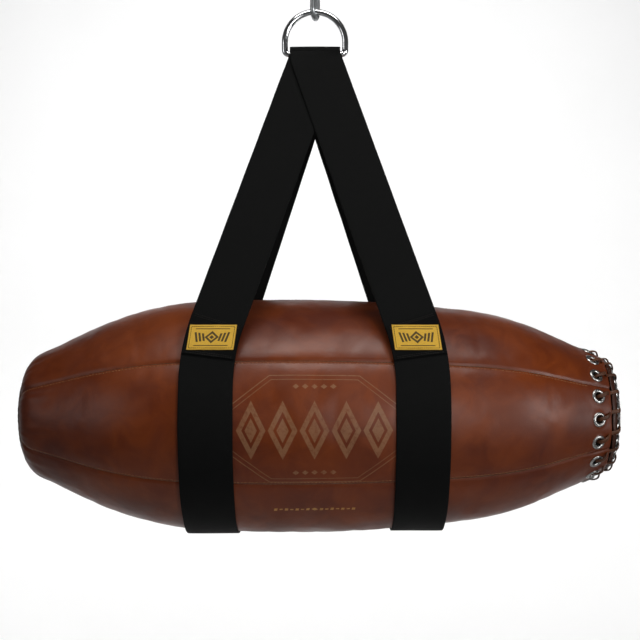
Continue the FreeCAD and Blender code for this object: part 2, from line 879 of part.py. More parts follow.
def bag_pieces():
    """Every piece of the bag about the X axis, with the density it is weighed at."""
    pieces = {}
    for index in range(panel_count):
        turn = front_turn + (index - 1) * panel_turn
        pieces[panel_name(index)] = (panel(turn), leather_density)
    pieces["seam_tapes"] = (seam_tapes(), textile_density)
    pieces["lining"] = (shell_layer(lining_depth, lining_thickness), textile_density)
    pieces["foam_wrap"] = (shell_layer(foam_depth, foam_thickness), textile_density)
    pieces["fill_sack"] = (fill_sack(), textile_density)
    pieces["textile_fill"] = (textile_fill(), textile_density)
    pieces["left_end_disc"] = (left_end_disc(), leather_density)
    pieces["left_end_pad"] = (left_end_pad(), textile_density)
    pieces["hem_facing"] = (hem_facing(), leather_density)
    pieces["body_eyelets"] = (body_ring(eyelet_solid), steel_density)
    pieces["body_washers"] = (body_ring(washer_solid), steel_density)
    pieces["closure_cap"] = (closure_cap(), leather_density)
    pieces["cap_eyelets"] = (cap_ring(eyelet_solid), steel_density)
    pieces["cap_washers"] = (cap_ring(washer_solid), steel_density)
    pieces["cap_backing"] = (cap_backing(), board_density)
    pieces["right_end_pad"] = (right_end_pad(), textile_density)
    pieces["lace"] = (lace(), leather_density)
    pieces["lace_knots"] = (lace_knots(), leather_density)
    return pieces


def balance_x(pieces):
    """Where the bag's widest point goes so that its weight hangs under the ring."""
    mass = sum(density * shape.Volume for shape, density in pieces.values())
    moment = sum(
        density * solid.Volume * solid.CenterOfMass.x
        for shape, density in pieces.values()
        for solid in shape.Solids
    )
    print("bag mass kg", round(mass, 2), "balance x", round(-moment / mass, 2))
    return -moment / mass


def save(name, shape):
    shape.exportStep("parts/" + name + ".step")


def main():
    pieces = bag_pieces()
    bag_x = balance_x(pieces)
    for name, (shape, _) in pieces.items():
        save(name, shape.translated(Vector(bag_x, 0, axis_z)))

    inner_bar = ring_wire / 2 + strap_play + strap_thickness / 2
    outer_bar = inner_bar + strap_thickness + strap_stack
    slings = {"left": Sling(-1, inner_bar, bag_x), "right": Sling(1, outer_bar, bag_x)}
    for side, sling in slings.items():
        save(side + "_strap", sling.strap())
        save(side + "_label", sling.label())
    save("label_stitching", Part.makeCompound([s.label_stitching() for s in slings.values()]))
    rows = [row for s in slings.values() for row in s.lap_stitching()]
    save("lap_stitching", Part.makeCompound(rows))

    save("hanging_link", hanging_link())
    save("d_ring", d_ring())


main()
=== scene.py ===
import json
import math

import bpy
import numpy as np
from mathutils import Matrix, Vector


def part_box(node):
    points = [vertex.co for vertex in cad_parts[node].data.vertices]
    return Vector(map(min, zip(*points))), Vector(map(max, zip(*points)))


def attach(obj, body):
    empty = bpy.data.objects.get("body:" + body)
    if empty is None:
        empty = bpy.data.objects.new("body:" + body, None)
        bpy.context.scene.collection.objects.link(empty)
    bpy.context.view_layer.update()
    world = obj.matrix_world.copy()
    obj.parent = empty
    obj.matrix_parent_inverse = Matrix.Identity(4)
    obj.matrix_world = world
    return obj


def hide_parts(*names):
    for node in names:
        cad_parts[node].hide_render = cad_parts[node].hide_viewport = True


# Horizontal leather heavy bag in two webbing slings, hung from a D-ring and a steel link.
# Metres. +Z is up, +X runs along the bag to its laced end, -Y is the front.

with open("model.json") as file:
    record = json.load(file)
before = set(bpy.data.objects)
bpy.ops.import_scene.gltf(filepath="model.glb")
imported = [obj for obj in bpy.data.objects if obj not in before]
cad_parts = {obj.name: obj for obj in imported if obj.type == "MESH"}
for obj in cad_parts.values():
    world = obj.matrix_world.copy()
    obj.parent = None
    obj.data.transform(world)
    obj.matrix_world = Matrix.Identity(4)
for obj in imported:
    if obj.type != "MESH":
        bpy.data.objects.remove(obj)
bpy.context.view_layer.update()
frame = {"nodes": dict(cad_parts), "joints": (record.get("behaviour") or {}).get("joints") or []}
nodes = frame["nodes"]
joints = {joint["name"]: joint for joint in frame["joints"]}

MM = 0.001
AXIS_Z = joints["bag_roll"]["pos_m"][2]
BAR_Z = joints["sling_swing"]["pos_m"][2]
PANELS = ["upper_front", "front", "lower_front", "lower_back", "back", "upper_back"]
PANEL_TURN = 2 * math.pi / len(PANELS)
FRONT_TURN = math.pi / 2  # from straight up to the front
FIRST_SEAM = FRONT_TURN + PANEL_TURN / 2
MERGE = 0.01 * MM  # points this close are one


# ------------------------------------------------------------------ camera, light and stage

EYE = Vector((7.5 * MM, -1.925, AXIS_Z + 143.5 * MM))
VIEW_WIDTH = 0.970  # seen across the picture in the plane of the bag's axis


def add_camera():
    bpy.ops.object.camera_add(location=EYE, rotation=(math.pi / 2, 0, 0))
    camera = bpy.context.object
    camera.data.lens = camera.data.sensor_width * -EYE.y / VIEW_WIDTH
    camera.data.clip_end = 60
    bpy.context.scene.camera = camera


def add_softbox(name, place, target, size, power, spread, colour=(1, 1, 1)):
    """A rectangular lamp; heights are from the bag's axis."""
    place, target = Vector(place), Vector(target)
    place.z += AXIS_Z
    target.z += AXIS_Z
    bpy.ops.object.light_add(type="AREA", location=place)
    lamp = bpy.context.object
    lamp.name = name
    lamp.rotation_euler = (target - place).to_track_quat("-Z", "Y").to_euler()
    lamp.data.shape = "RECTANGLE"
    lamp.data.size, lamp.data.size_y = size
    lamp.data.energy = power
    lamp.data.spread = math.radians(spread)
    lamp.data.color = colour


def add_lights():
    middle, right_end = (0, 0, 0), (0.35, 0, 0)
    add_softbox("overhead_key", (0.05, -0.85, 2.0), middle, (1.8, 0.8), 14, 120, (1, 0.98, 0.95))
    add_softbox("right_front", (0.85, -2.3, 0.25), middle, (0.45, 1.0), 3.6, 90)
    add_softbox("right_side", (2.05, -1.35, 0.20), right_end, (0.5, 0.9), 4.0, 90)
    add_softbox("left_front", (-2.6, -1.7, 0.5), middle, (1.2, 1.6), 2.6, 90)
    add_softbox("backdrop_top", (0, 1.9, 2.9), (0, 3.7, 0.2), (4.5, 1.0), 38, 100)
    add_softbox("backdrop_left", (-2.9, 1.6, 0.2), (0.3, 3.8, -0.3), (0.8, 1.8), 12, 96)
    add_softbox("backdrop_right", (2.9, 1.6, 0.2), (-0.3, 3.8, -0.3), (0.8, 1.8), 12, 96)
    world = bpy.data.worlds.new("studio")
    world.use_nodes = True
    background = world.node_tree.nodes["Background"].inputs
    background["Color"].default_value = (1, 1, 1, 1)
    background["Strength"].default_value = 0.05
    bpy.context.scene.world = world
    bpy.context.scene.view_settings.view_transform = "Standard"


def add_stage():
    """Pale floor that sweeps up into a wall behind the bag."""
    floor_z, wall_y, reach, rise, sweep = AXIS_Z - 1.4, 3.6, 9.0, 6.5, 1.5
    bpy.ops.mesh.primitive_plane_add(size=1, location=(0, 0, 0))
    floor = bpy.context.object
    floor.name = "studio_floor"
    with_faces(floor, lambda f: True)
    bpy.ops.transform.resize(value=(2 * reach, reach + wall_y, 1))
    bpy.ops.transform.translate(value=(0, (wall_y - reach) / 2, floor_z))
    with_edges(floor, lambda a, b: min(a.y, b.y) > wall_y - MM)
    bpy.ops.mesh.extrude_region_move(TRANSFORM_OT_translate={"value": (0, 0, rise)})
    with_edges(floor, lambda a, b: max(abs(a.z - floor_z), abs(b.z - floor_z)) < MM
               and min(a.y, b.y) > wall_y - MM)
    bpy.ops.mesh.bevel(offset=sweep, segments=24, affect="EDGES")
    done_editing()
    smooth(floor)
    floor.data.materials.append(studio_white())


# ------------------------------------------------------------------ modelling helpers


def clear_selection():
    if bpy.context.mode != "OBJECT":
        bpy.ops.object.mode_set(mode="OBJECT")
    bpy.ops.object.select_all(action="DESELECT")


def pick(obj):
    clear_selection()
    obj.select_set(True)
    bpy.context.view_layer.objects.active = obj


def choose(obj, kind, items, chosen):
    """Edit mode with only these items of the picked piece selected."""
    for others in (obj.data.vertices, obj.data.edges, obj.data.polygons):
        others.foreach_set("select", [False] * len(others))
    items.foreach_set("select", chosen)
    bpy.ops.object.mode_set(mode="EDIT")
    bpy.ops.mesh.select_mode(type=kind)


def with_faces(obj, wanted):
    """Edit mode with the faces selected that wanted(face) accepts."""
    pick(obj)
    faces = obj.data.polygons
    choose(obj, "FACE", faces, [bool(wanted(face)) for face in faces])


def with_edges(obj, wanted):
    """Edit mode with the edges selected whose two ends wanted(a, b) accepts."""
    pick(obj)
    places, edges = [v.co for v in obj.data.vertices], obj.data.edges
    choose(obj, "EDGE", edges, [bool(wanted(*(places[i] for i in e.vertices))) for e in edges])


def with_all(obj):
    pick(obj)
    bpy.ops.object.mode_set(mode="EDIT")
    bpy.ops.mesh.select_mode(type="VERT")
    bpy.ops.mesh.select_all(action="SELECT")


def done_editing():
    bpy.ops.object.mode_set(mode="OBJECT")


def modify(obj, kind, **settings):
    """Adds a modifier with these settings and applies it."""
    pick(obj)
    modifier = obj.modifiers.new(kind.lower(), kind)
    for key, value in settings.items():
        setattr(modifier, key, value)
    bpy.ops.object.modifier_apply(modifier=modifier.name)


def points_of(obj):
    co = np.empty(len(obj.data.vertices) * 3, np.float32)
    obj.data.vertices.foreach_get("co", co)
    return co.reshape(-1, 3).astype(float)


def place_points(obj, points):
    obj.data.vertices.foreach_set("co", np.asarray(points, np.float32).ravel())
    obj.data.update()


def one_way(obj):
    """Merges doubles and turns every face the same way."""
    with_all(obj)
    bpy.ops.mesh.remove_doubles(threshold=MERGE)
    bpy.ops.mesh.normals_make_consistent(inside=False)
    done_editing()


def flipped_if(obj, wrong):
    if wrong:
        with_all(obj)
        bpy.ops.mesh.flip_normals()
        done_editing()


def face_along_x(obj, side):
    """Merges doubles and turns most faces towards +X * side."""
    one_way(obj)
    flipped_if(obj, sum(face.normal.x * face.area for face in obj.data.polygons) * side < 0)


def face_off_axis(obj):
    """Merges doubles and turns most faces away from the bag's axis."""
    one_way(obj)
    total = 0.0
    for face in obj.data.polygons:
        away = Vector((0, face.center.y, face.center.z - AXIS_Z))
        total += face.normal.dot(away) * face.area
    flipped_if(obj, total < 0)


def walled(obj, thickness, offset=-1):
    modify(obj, "SOLIDIFY", thickness=thickness, offset=offset, use_even_offset=False)


def eased(obj, width, angle):
    """Rounds the sharp edges."""
    modify(obj, "BEVEL", width=width, segments=2, limit_method="ANGLE", angle_limit=math.radians(angle))


def smooth(obj, angle=None):
    pick(obj)
    if angle is None:
        bpy.ops.object.shade_smooth()
    else:
        bpy.ops.object.shade_smooth_by_angle(angle=math.radians(angle))


def joined(pieces, name):
    clear_selection()
    for piece in pieces:
        piece.select_set(True)
    bpy.context.view_layer.objects.active = pieces[0]
    bpy.ops.object.join()
    return rename(name)


def rename(name):
    obj = bpy.context.object
    obj.name = name
    obj.data.name = name
    return obj


def seat(obj, body, slot, material, *hidden):
    """Puts a finished piece on its CAD body, with its material and the nodes it stands for."""
    obj.data.materials.clear()
    obj.data.materials.append(material)
    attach(obj, body)
    if hidden:
        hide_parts(*hidden)


# ------------------------------------------------------------------ outlines read from the CAD nodes


def turns_of(points):
    """Angle of each point round the bag's axis, from straight up towards the front."""
    return np.arctan2(-points[:, 1], points[:, 2] - AXIS_Z)


def radii_of(points):
    return np.hypot(points[:, 1], points[:, 2] - AXIS_Z)


def on_bag(x, radius, turn):
    return np.stack([x, -radius * np.sin(turn), AXIS_Z + radius * np.cos(turn)], -1)


def upper_hull(flat):
    hull = []
    for p in flat[np.lexsort((flat[:, 1], flat[:, 0]))]:
        while len(hull) > 1:
            a, b = hull[-2], hull[-1]
            if (b[0] - a[0]) * (p[1] - a[1]) - (b[1] - a[1]) * (p[0] - a[0]) < 0:
                break
            hull.pop()
        hull.append(p)
    return np.array(hull)


class Outline:
    """Smooth line through a node's outermost points, by distance along it."""

    def __init__(self, corners):
        gaps = np.hypot(*np.diff(corners, axis=0).T)
        keep = np.r_[True, gaps > 0.2 * MM]
        self.corners = corners[keep]
        self.at = np.r_[0, np.cumsum(np.hypot(*np.diff(self.corners, axis=0).T))]
        self.length = self.at[-1]
        slopes = np.diff(self.corners, axis=0) / np.diff(self.at)[:, None]
        before, after = np.diff(self.at)[:-1, None], np.diff(self.at)[1:, None]
        middle = (slopes[:-1] * after + slopes[1:] * before) / (before + after)
        self.slopes = np.vstack([2 * slopes[0] - middle[0], middle, 2 * slopes[-1] - middle[-1]])

    def points(self, along):
        """(x, radius) at each distance along."""
        along = np.clip(along, 0, self.length)
        i = np.clip(np.searchsorted(self.at, along, side="right") - 1, 0, len(self.at) - 2)
        span = (self.at[i + 1] - self.at[i])[..., None]
        t = (along - self.at[i])[..., None] / span
        return ((2 * t**3 - 3 * t**2 + 1) * self.corners[i]
                + (t**3 - 2 * t**2 + t) * span * self.slopes[i]
                + (3 * t**2 - 2 * t**3) * self.corners[i + 1]
                + (t**3 - t**2) * span * self.slopes[i + 1])

    def normals(self, along):
        """Outward normals, with the line running towards +X over the bag."""
        ahead, behind = self.points(along + 0.5 * MM), self.points(along - 0.5 * MM)
        run = ahead - behind
        run /= np.linalg.norm(run, axis=-1, keepdims=True)
        return np.stack([-run[..., 1], run[..., 0]], -1)

    def along_at_x(self, x):
        table = np.linspace(0, self.length, 1200)
        return np.interp(x, self.points(table)[:, 0], table)


def hull_of(node, key=lambda x, radius: (x, radius)):
    co = points_of(nodes[node])
    return upper_hull(np.stack(key(co[:, 0], radii_of(co)), -1))


def loose_parts(node):
    """Centres of a node's separate pieces, in order round the bag."""
    pick(nodes[node])
    bpy.ops.object.duplicate()
    copy = bpy.context.object
    with_all(copy)
    bpy.ops.mesh.remove_doubles(threshold=MERGE)
    bpy.ops.mesh.separate(type="LOOSE")
    done_editing()
    centres = []
    for obj in list(bpy.context.selected_objects):
        co = points_of(obj)
        centres.append((co.min(0) + co.max(0)) / 2)
        bpy.data.objects.remove(obj)
    centres = np.array(centres)
    return centres[np.argsort(turns_of(centres))]


cover = Outline(hull_of("leather_panel_front"))
MOUTH_X = float(cover.points(np.array([cover.length]))[0, 0])
TIP_R = float(cover.points(np.array([0.0]))[0, 1])
WIDEST = cover.corners[:, 1].max()
LEATHER = 2.6 * MM
SEAM_GAP = 0.5 * MM

body_eyelets = loose_parts("body_eyelets")
cap_eyelets = loose_parts("cap_eyelets")
EYELETS = len(body_eyelets)
PITCH = 2 * math.pi / EYELETS
EYELET_ALONG = cover.length - 17.5 * MM
HEM_FLAT = 6.5 * MM  # leather from the eyelets' flanges to the hem
HEM_REACH = 4.5 * MM  # how much further the hem reaches, out to the cap
LEAN_REACH = 26 * MM  # how far inwards the slings lean while they touch the bag
EYELET_BORE = 6.6 * MM


def nearest_turn(turn, step, first=0.0):
    """Signed angle from each turn to the nearest one of first + k * step."""
    return (turn - first + step / 2) % step - step / 2


def bell(distance, width):
    return np.exp(-(distance / width) ** 2)


def within(distance, width):
    """1 below 0, falling to 0 above it over about this width."""
    return 1 / (1 + np.exp(np.clip(distance / width, -30, 30)))


def ripple(seed):
    """Smooth irregular wave, mostly between -1 and 1, made of a few seeded sines."""
    random = np.random.default_rng(seed)
    rates, starts = random.uniform(0.6, 1.7, 5), random.uniform(0, 2 * math.pi, 5)
    return lambda t: sum(np.sin(rate * t + start) for rate, start in zip(rates, starts)) / 3.2


# ------------------------------------------------------------------ how the leather sits


BARREL_ROWS, BARREL_COLUMNS, BARREL_FRAMES = 150, 96, 24
CLOTH = dict(vertex_group_mass="held", quality=6, mass=0.6, tension_stiffness=40,
             compression_stiffness=40, shear_stiffness=20, bending_stiffness=4, shrink_min=-0.012,
             use_pressure=True, uniform_pressure_force=5)


def stuffed_barrel():
    """The filling pressed against a closed cover: the cover is held along its seams and at both
    ends and blown up as cloth. Returns how far it moved, by distance along and turn."""
    rows, columns = BARREL_ROWS, BARREL_COLUMNS
    clear_selection()
    bpy.ops.mesh.primitive_grid_add(x_subdivisions=rows - 1, y_subdivisions=columns, size=1)
    barrel = bpy.context.object
    flat = points_of(barrel)
    row = np.rint((flat[:, 0] + 0.5) * (rows - 1)).astype(int)
    column = np.rint((flat[:, 1] + 0.5) * columns).astype(int)
    stations = np.linspace(0, cover.length, rows)
    line = cover.points(stations)
    place_points(barrel, on_bag(line[row, 0], line[row, 1], column * 2 * math.pi / columns))
    one_way(barrel)
    rest = points_of(barrel)
    along = np.interp(rest[:, 0], line[:, 0], stations)
    from_seam = np.abs(nearest_turn(turns_of(rest), PANEL_TURN, FIRST_SEAM))
    held = barrel.vertex_groups.new(name="held")
    pinned = (from_seam < 0.02) | (along < 4 * MM) | (along > cover.length - 32 * MM)
    held.add([int(i) for i in np.nonzero(pinned)[0]], 1.0, "REPLACE")
    cloth = barrel.modifiers.new("cloth", "CLOTH")
    for key, value in CLOTH.items():
        setattr(cloth.settings, key, value)
    cloth.settings.effector_weights.gravity = 0
    cloth.point_cache.frame_end = BARREL_FRAMES
    for frame_number in range(1, BARREL_FRAMES + 1):
        bpy.context.scene.frame_set(frame_number)
    bpy.ops.object.modifier_apply(modifier=cloth.name)
    moved = points_of(barrel)
    bpy.context.scene.frame_set(1)
    bpy.data.objects.remove(barrel)
    field = np.zeros((rows, columns))
    i = np.rint(along / cover.length * (rows - 1)).astype(int)
    j = np.rint(turns_of(rest) / (2 * math.pi) * columns).astype(int) % columns
    field[i, j] = radii_of(moved) - radii_of(rest)
    return field


press_field = stuffed_barrel()
PRESS_TOP = float(np.quantile(press_field, 0.98)) or 1.0
press_field = np.clip(press_field / PRESS_TOP, -0.5, 1.15) * 1.1 * MM


def pressed(along, turn):
    """How far the filling pushes the cover out, between the held lines."""
    i = np.clip(along / cover.length * (BARREL_ROWS - 1), 0, BARREL_ROWS - 1.001)
    j = (turn / (2 * math.pi) * BARREL_COLUMNS) % BARREL_COLUMNS
    i0, j0 = np.floor(i).astype(int), np.floor(j).astype(int) % BARREL_COLUMNS
    di, dj = i - np.floor(i), j - np.floor(j)
    j1 = (j0 + 1) % BARREL_COLUMNS
    return ((1 - di) * ((1 - dj) * press_field[i0, j0] + dj * press_field[i0, j1])
            + di * ((1 - dj) * press_field[i0 + 1, j0] + dj * press_field[i0 + 1, j1]))


strap_box = {side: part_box(side + "_strap") for side in ("left", "right")}
STRAP_HALF = float(strap_box["left"][1].x)
FOOT = {"left": float(strap_box["left"][0].x) + STRAP_HALF,
        "right": float(strap_box["right"][1].x) - STRAP_HALF}


def under_sling(x):
    """1 where a sling can lie as the bag rolls, falling to 0 a little way out."""
    inward = np.minimum(np.abs(x - FOOT["left"] - LEAN_REACH / 2),
                        np.abs(x - FOOT["right"] + LEAN_REACH / 2))
    return within(inward - STRAP_HALF - 8 * MM - LEAN_REACH / 2, 3 * MM)


pucker = [ripple(11 + i) for i in range(len(PANELS))]
dent = [ripple(31 + i) for i in range(8)]


def leather_lift(along, turn, x, radius):
    """How far the cover stands off its outline: seams, puckers, hollows, gathers, clamped eyelets."""
    from_seam = nearest_turn(turn, PANEL_TURN, FIRST_SEAM)
    side = np.where(from_seam > 0, 1.0, -1.0)
    across = np.abs(from_seam) * radius - SEAM_GAP / 2
    which = np.rint((turn - FIRST_SEAM) / PANEL_TURN).astype(int) % len(PANELS)
    lift = pressed(along, turn) - 1.0 * MM
    lift -= 1.0 * MM * bell(across, 9 * MM) + 1.4 * MM * bell(across, 2.4 * MM)

    to_rim = cover.length - along
    tight = 0.35 + 0.65 * (bell(along - 55 * MM, 90 * MM) + bell(to_rim - 90 * MM, 110 * MM))
    waves = np.zeros_like(lift)
    for k, wave in enumerate(pucker):
        here = which == k
        waves[here] = wave(along[here] / (7.5 * MM) + 2.4 * side[here] + across[here] / (16 * MM))
    lift += 0.30 * MM * waves * tight * bell(across - 7 * MM, 13 * MM)

    hollows = (dent[0](along / (62 * MM) + 1.3 * turn) + dent[1](turn * 4.1 + along / (95 * MM))
               + dent[2](along / (30 * MM) - 6.0 * turn) * 0.45)
    lift += 0.55 * MM * hollows * (1 - bell(across, 12 * MM))

    gathers = np.sin(turn * 44 + 2.0 * dent[3](turn * 9)) * bell(along, 26 * MM)
    gathers += 0.8 * np.sin(turn * 30 + 2.0 * dent[4](turn * 7) + 1) * bell(along - 30 * MM, 40 * MM)
    lift += 0.34 * MM * gathers

    beside_eyelet = nearest_turn(turn, PITCH, FRONT_TURN) * radius
    to_eyelet = np.hypot(along - EYELET_ALONG, beside_eyelet)
    lift += 0.9 * MM * (np.cos(EYELETS * (turn - FRONT_TURN)) * -0.5) * bell(to_rim, 9 * MM)
    flat = within(to_eyelet - 12.0 * MM, 0.7 * MM)
    lift = lift * (1 - within(to_eyelet - 14.5 * MM, 1.1 * MM)) + flat * (beside_eyelet**2 / (2 * radius))
    lift -= 0.8 * MM * bell(to_eyelet - 13 * MM, 2.2 * MM)
    lift += 0.5 * MM * within(to_rim - 34 * MM, 2 * MM) * (1 - flat)

    limit = -0.12 * MM + 1.97 * MM * (1 - under_sling(x))
    return np.where(lift > limit, limit, lift)


# ------------------------------------------------------------------ leather panels


def strung_line(name, spots):
    """A line of points drawn out one after the other, as a new object."""
    clear_selection()
    bpy.ops.mesh.primitive_plane_add(size=1 * MM, location=spots[0])
    obj = rename(name)
    bpy.ops.object.transform_apply(location=True, rotation=False, scale=False)
    with_all(obj)
    bpy.ops.mesh.merge(type="CENTER")
    bpy.ops.mesh.select_all(action="SELECT")
    for before, after in zip(spots, spots[1:]):
        step = Vector(after) - Vector(before)
        bpy.ops.mesh.extrude_vertices_move(TRANSFORM_OT_translate={"value": step})
    return obj


def spun(name, line, start, turn, steps):
    """The line (x, radius) spun round the bag's axis from start through turn."""
    spots = on_bag(line[:, 0], line[:, 1], np.full(len(line), start))
    obj = strung_line(name, [tuple(p) for p in spots])
    bpy.ops.mesh.select_all(action="SELECT")
    bpy.ops.mesh.spin(steps=steps, angle=turn, center=(0, 0, AXIS_Z), axis=(-1, 0, 0))
    done_editing()
    return obj


def bore_centres(line, along, eyelets):
    """Where each eyelet's bore passes the line's surface."""
    turns = turns_of(eyelets)
    x, radius = line.points(np.array([along]))[0]
    return on_bag(np.full(len(turns), x), np.full(len(turns), radius), turns)


def open_bores(obj, centres):
    """Cuts away the faces that lie in an eyelet's bore at each centre."""
    spots = np.array([face.center[:] for face in obj.data.polygons])
    near = np.min(np.linalg.norm(spots[:, None, :] - centres[None], axis=2), axis=1)
    with_faces(obj, lambda face: near[face.index] < EYELET_BORE)
    bpy.ops.mesh.delete(type="FACE")
    done_editing()


def laid(obj, turn, down=0.0, past=0.0):
    """Lays a spun piece on the leather at these turns, this far under it; past moves its hem out."""
    along = cover.along_at_x(points_of(obj)[:, 0])
    centre, out = cover.points(along), cover.normals(along)
    lift = leather_lift(along, turn, centre[:, 0], centre[:, 1]) - down
    hem = np.clip((along - cover.length + HEM_FLAT) / HEM_FLAT, 0, 1) * past
    place = centre + out * lift[:, None] + np.stack([out[:, 1], -out[:, 0]], -1) * hem[:, None]
    place_points(obj, on_bag(place[:, 0], place[:, 1], turn))
    face_off_axis(obj)


def turns_near(obj, middle):
    """Turns of the points, unwrapped to lie near middle."""
    return middle + (turns_of(points_of(obj)) - middle + math.pi) % (2 * math.pi) - math.pi


def leather_panel(index, material):
    name = PANELS[index]
    middle = FRONT_TURN + (index - 1) * PANEL_TURN
    half = PANEL_TURN / 2 - SEAM_GAP / 2 / WIDEST
    nose, mouth = 60 * MM, cover.length - 46 * MM
    along = np.r_[np.linspace(0, nose, 26)[:-1], np.linspace(nose, mouth, 170)[:-1],
                  np.linspace(mouth, cover.length, 30)]
    panel = spun("leather_" + name, cover.points(along), middle - half, 2 * half, 56)
    # more points near the two seams than across the middle
    share = np.clip((turns_near(panel, middle) - middle) / half, -1, 1)
    laid(panel, middle + half * (1.32 * share - 0.32 * share**3), past=HEM_REACH)
    open_bores(panel, bore_centres(cover, EYELET_ALONG, body_eyelets))
    walled(panel, LEATHER)
    eased(panel, 0.7 * MM, 55)
    smooth(panel, 50)
    seat(panel, "bag", "cover_leather", material, "leather_panel_" + name)


def seam_tape_strips(material):
    """Tape behind each lengthwise seam, drawn in with the leather."""
    strips = []
    half = 9 * MM / WIDEST
    line = cover.points(np.linspace(2 * MM, cover.length - 36 * MM, 140))
    for k in range(len(PANELS)):
        seam = FIRST_SEAM + k * PANEL_TURN
        strip = spun("seam_tape", line, seam - half, 2 * half, 10)
        laid(strip, turns_near(strip, seam), down=LEATHER + 0.15 * MM)
        walled(strip, 0.8 * MM)
        strips.append(strip)
    tapes = joined(strips, "seam_tape_strips")
    smooth(tapes, 50)
    seat(tapes, "bag", "canvas", material, "seam_tapes")


def hem_band(material):
    """Leather facing inside the mouth, under the cover's hem."""
    along = np.linspace(cover.length - 32 * MM, cover.length - 0.6 * MM, 26)
    band = spun("hem_facing_band", cover.points(along), 0.0, 2 * math.pi, 288)
    laid(band, turns_of(points_of(band)), down=LEATHER + 0.3 * MM)
    open_bores(band, bore_centres(cover, EYELET_ALONG, body_eyelets))
    walled(band, 2.0 * MM)
    smooth(band, 50)
    seat(band, "bag", "facing_leather", material, "hem_facing")


# ------------------------------------------------------------------ round end and laced end


def left_disc(material):
    """Puffed round end, gathered at its seam."""
    line = Outline(hull_of("left_end_disc", lambda x, radius: (radius, -x)))
    rim = line.along_at_x(TIP_R - 0.4 * MM)
    flat = line.points(np.r_[np.linspace(0, rim - 14 * MM, 22)[:-1], np.linspace(rim - 14 * MM, rim, 16)])
    across = np.stack([-flat[:, 1], np.maximum(flat[:, 0], 0.01 * MM)], -1)
    disc = spun("left_end", across, 0.0, 2 * math.pi, 120)
    co = points_of(disc)
    radius, turn = radii_of(co), turns_of(co)
    from_rim = TIP_R - radius
    dip = 2.6 * MM * bell(from_rim, 3.2 * MM) - 0.5 * MM * bell(from_rim - 11 * MM, 7 * MM)
    folds = np.sin(turn * 36 + 2.2 * dent[5](turn * 8)) * bell(from_rim - 5 * MM, 9 * MM)
    hollows = dent[6](radius / (14 * MM) * np.cos(turn) + 2) + dent[7](radius / (17 * MM) * np.sin(turn))
    co[:, 0] += dip + 0.28 * MM * folds + 0.35 * MM * hollows * (radius > MM)
    place_points(disc, co)
    face_along_x(disc, -1)
    walled(disc, LEATHER)
    smooth(disc, 50)
    seat(disc, "bag", "end_leather", material, "left_end_disc")


cap_line = Outline(hull_of("closure_cap")[1:])
cap_table = np.linspace(0, cap_line.length, 1500)


def cap_along(radius):
    """Distance from the cap's edge at which it has this radius."""
    return np.interp(-radius, -cap_line.points(cap_table)[:, 1], cap_table)


CAP_EYELET_ALONG = float(cap_along(float(np.mean(radii_of(cap_eyelets)))))
CAP_FIRST = float(turns_of(cap_eyelets)[0])
LACE_OVER_EDGE = FRONT_TURN - 0.36 * PITCH


def cap_lift(along, turn, radius):
    """How far the cap stands off its outline: pulled in by the lace, creased, flat at the eyelets."""
    edge = bell(along - 5 * MM, 9 * MM)
    cord = nearest_turn(turn, PITCH, LACE_OVER_EDGE) * radius
    lift = -1.1 * MM * edge * bell(cord, 4.2 * MM) + 0.5 * MM * edge * (1 - bell(cord, 7 * MM))
    lift += 0.16 * MM * np.sin(turn * 54 + 2 * dent[2](turn * 6)) * bell(along - 16 * MM, 20 * MM)
    hollows = dent[6](radius / (22 * MM) * np.cos(turn)) + dent[7](radius / (19 * MM) * np.sin(turn) + 1)
    lift += 0.5 * MM * hollows * (1 - bell(cap_line.length - along, 8 * MM))
    ring = np.hypot(along - CAP_EYELET_ALONG, nearest_turn(turn, PITCH, CAP_FIRST) * radius)
    return lift * (1 - within(ring - 13.5 * MM, 1.1 * MM)) - 0.5 * MM * bell(ring - 12.6 * MM, 1.8 * MM)


def right_cap(material):
    along = np.r_[np.linspace(0, 34 * MM, 40)[:-1], np.linspace(34 * MM, cap_line.length, 22)]
    line = cap_line.points(along)
    line[:, 1] = np.maximum(line[:, 1], 0.01 * MM)
    cap = spun("right_cap", line, 0.0, 2 * math.pi, 216)
    co = points_of(cap)
    radius, turn = radii_of(co), turns_of(co)
    here = cap_along(radius)
    out = cap_line.normals(here)
    lift = cap_lift(here, turn, radius)
    place_points(cap, on_bag(co[:, 0] + out[:, 0] * lift, np.maximum(radius + out[:, 1] * lift, 0), turn))
    face_along_x(cap, 1)
    open_bores(cap, bore_centres(cap_line, CAP_EYELET_ALONG, cap_eyelets))
    walled(cap, 3.0 * MM)
    eased(cap, 0.8 * MM, 55)
    smooth(cap, 50)
    seat(cap, "bag", "end_leather", material, "closure_cap")


# ------------------------------------------------------------------ lace


LACE_WIDE, LACE_THICK = 5.6 * MM, 2.4 * MM
LACE_SQUARE = 0.72  # 1 makes the thong's section an oval, less squares it


def catmull(points, steps):
    """Smooth line through the points, with steps spots between each two."""
    p = np.vstack([2 * points[0] - points[1], points, 2 * points[-1] - points[-2]])
    t = np.linspace(0, 1, steps, endpoint=False)[:, None]
    runs = []
    for a, b, c, d in zip(p, p[1:], p[2:], p[3:]):
        runs.append(0.5 * (2 * b + (c - a) * t + (2 * a - 5 * b + 4 * c - d) * t**2
                           + (3 * b - 3 * c + d - a) * t**3))
    return np.vstack(runs + [points[-1:]])


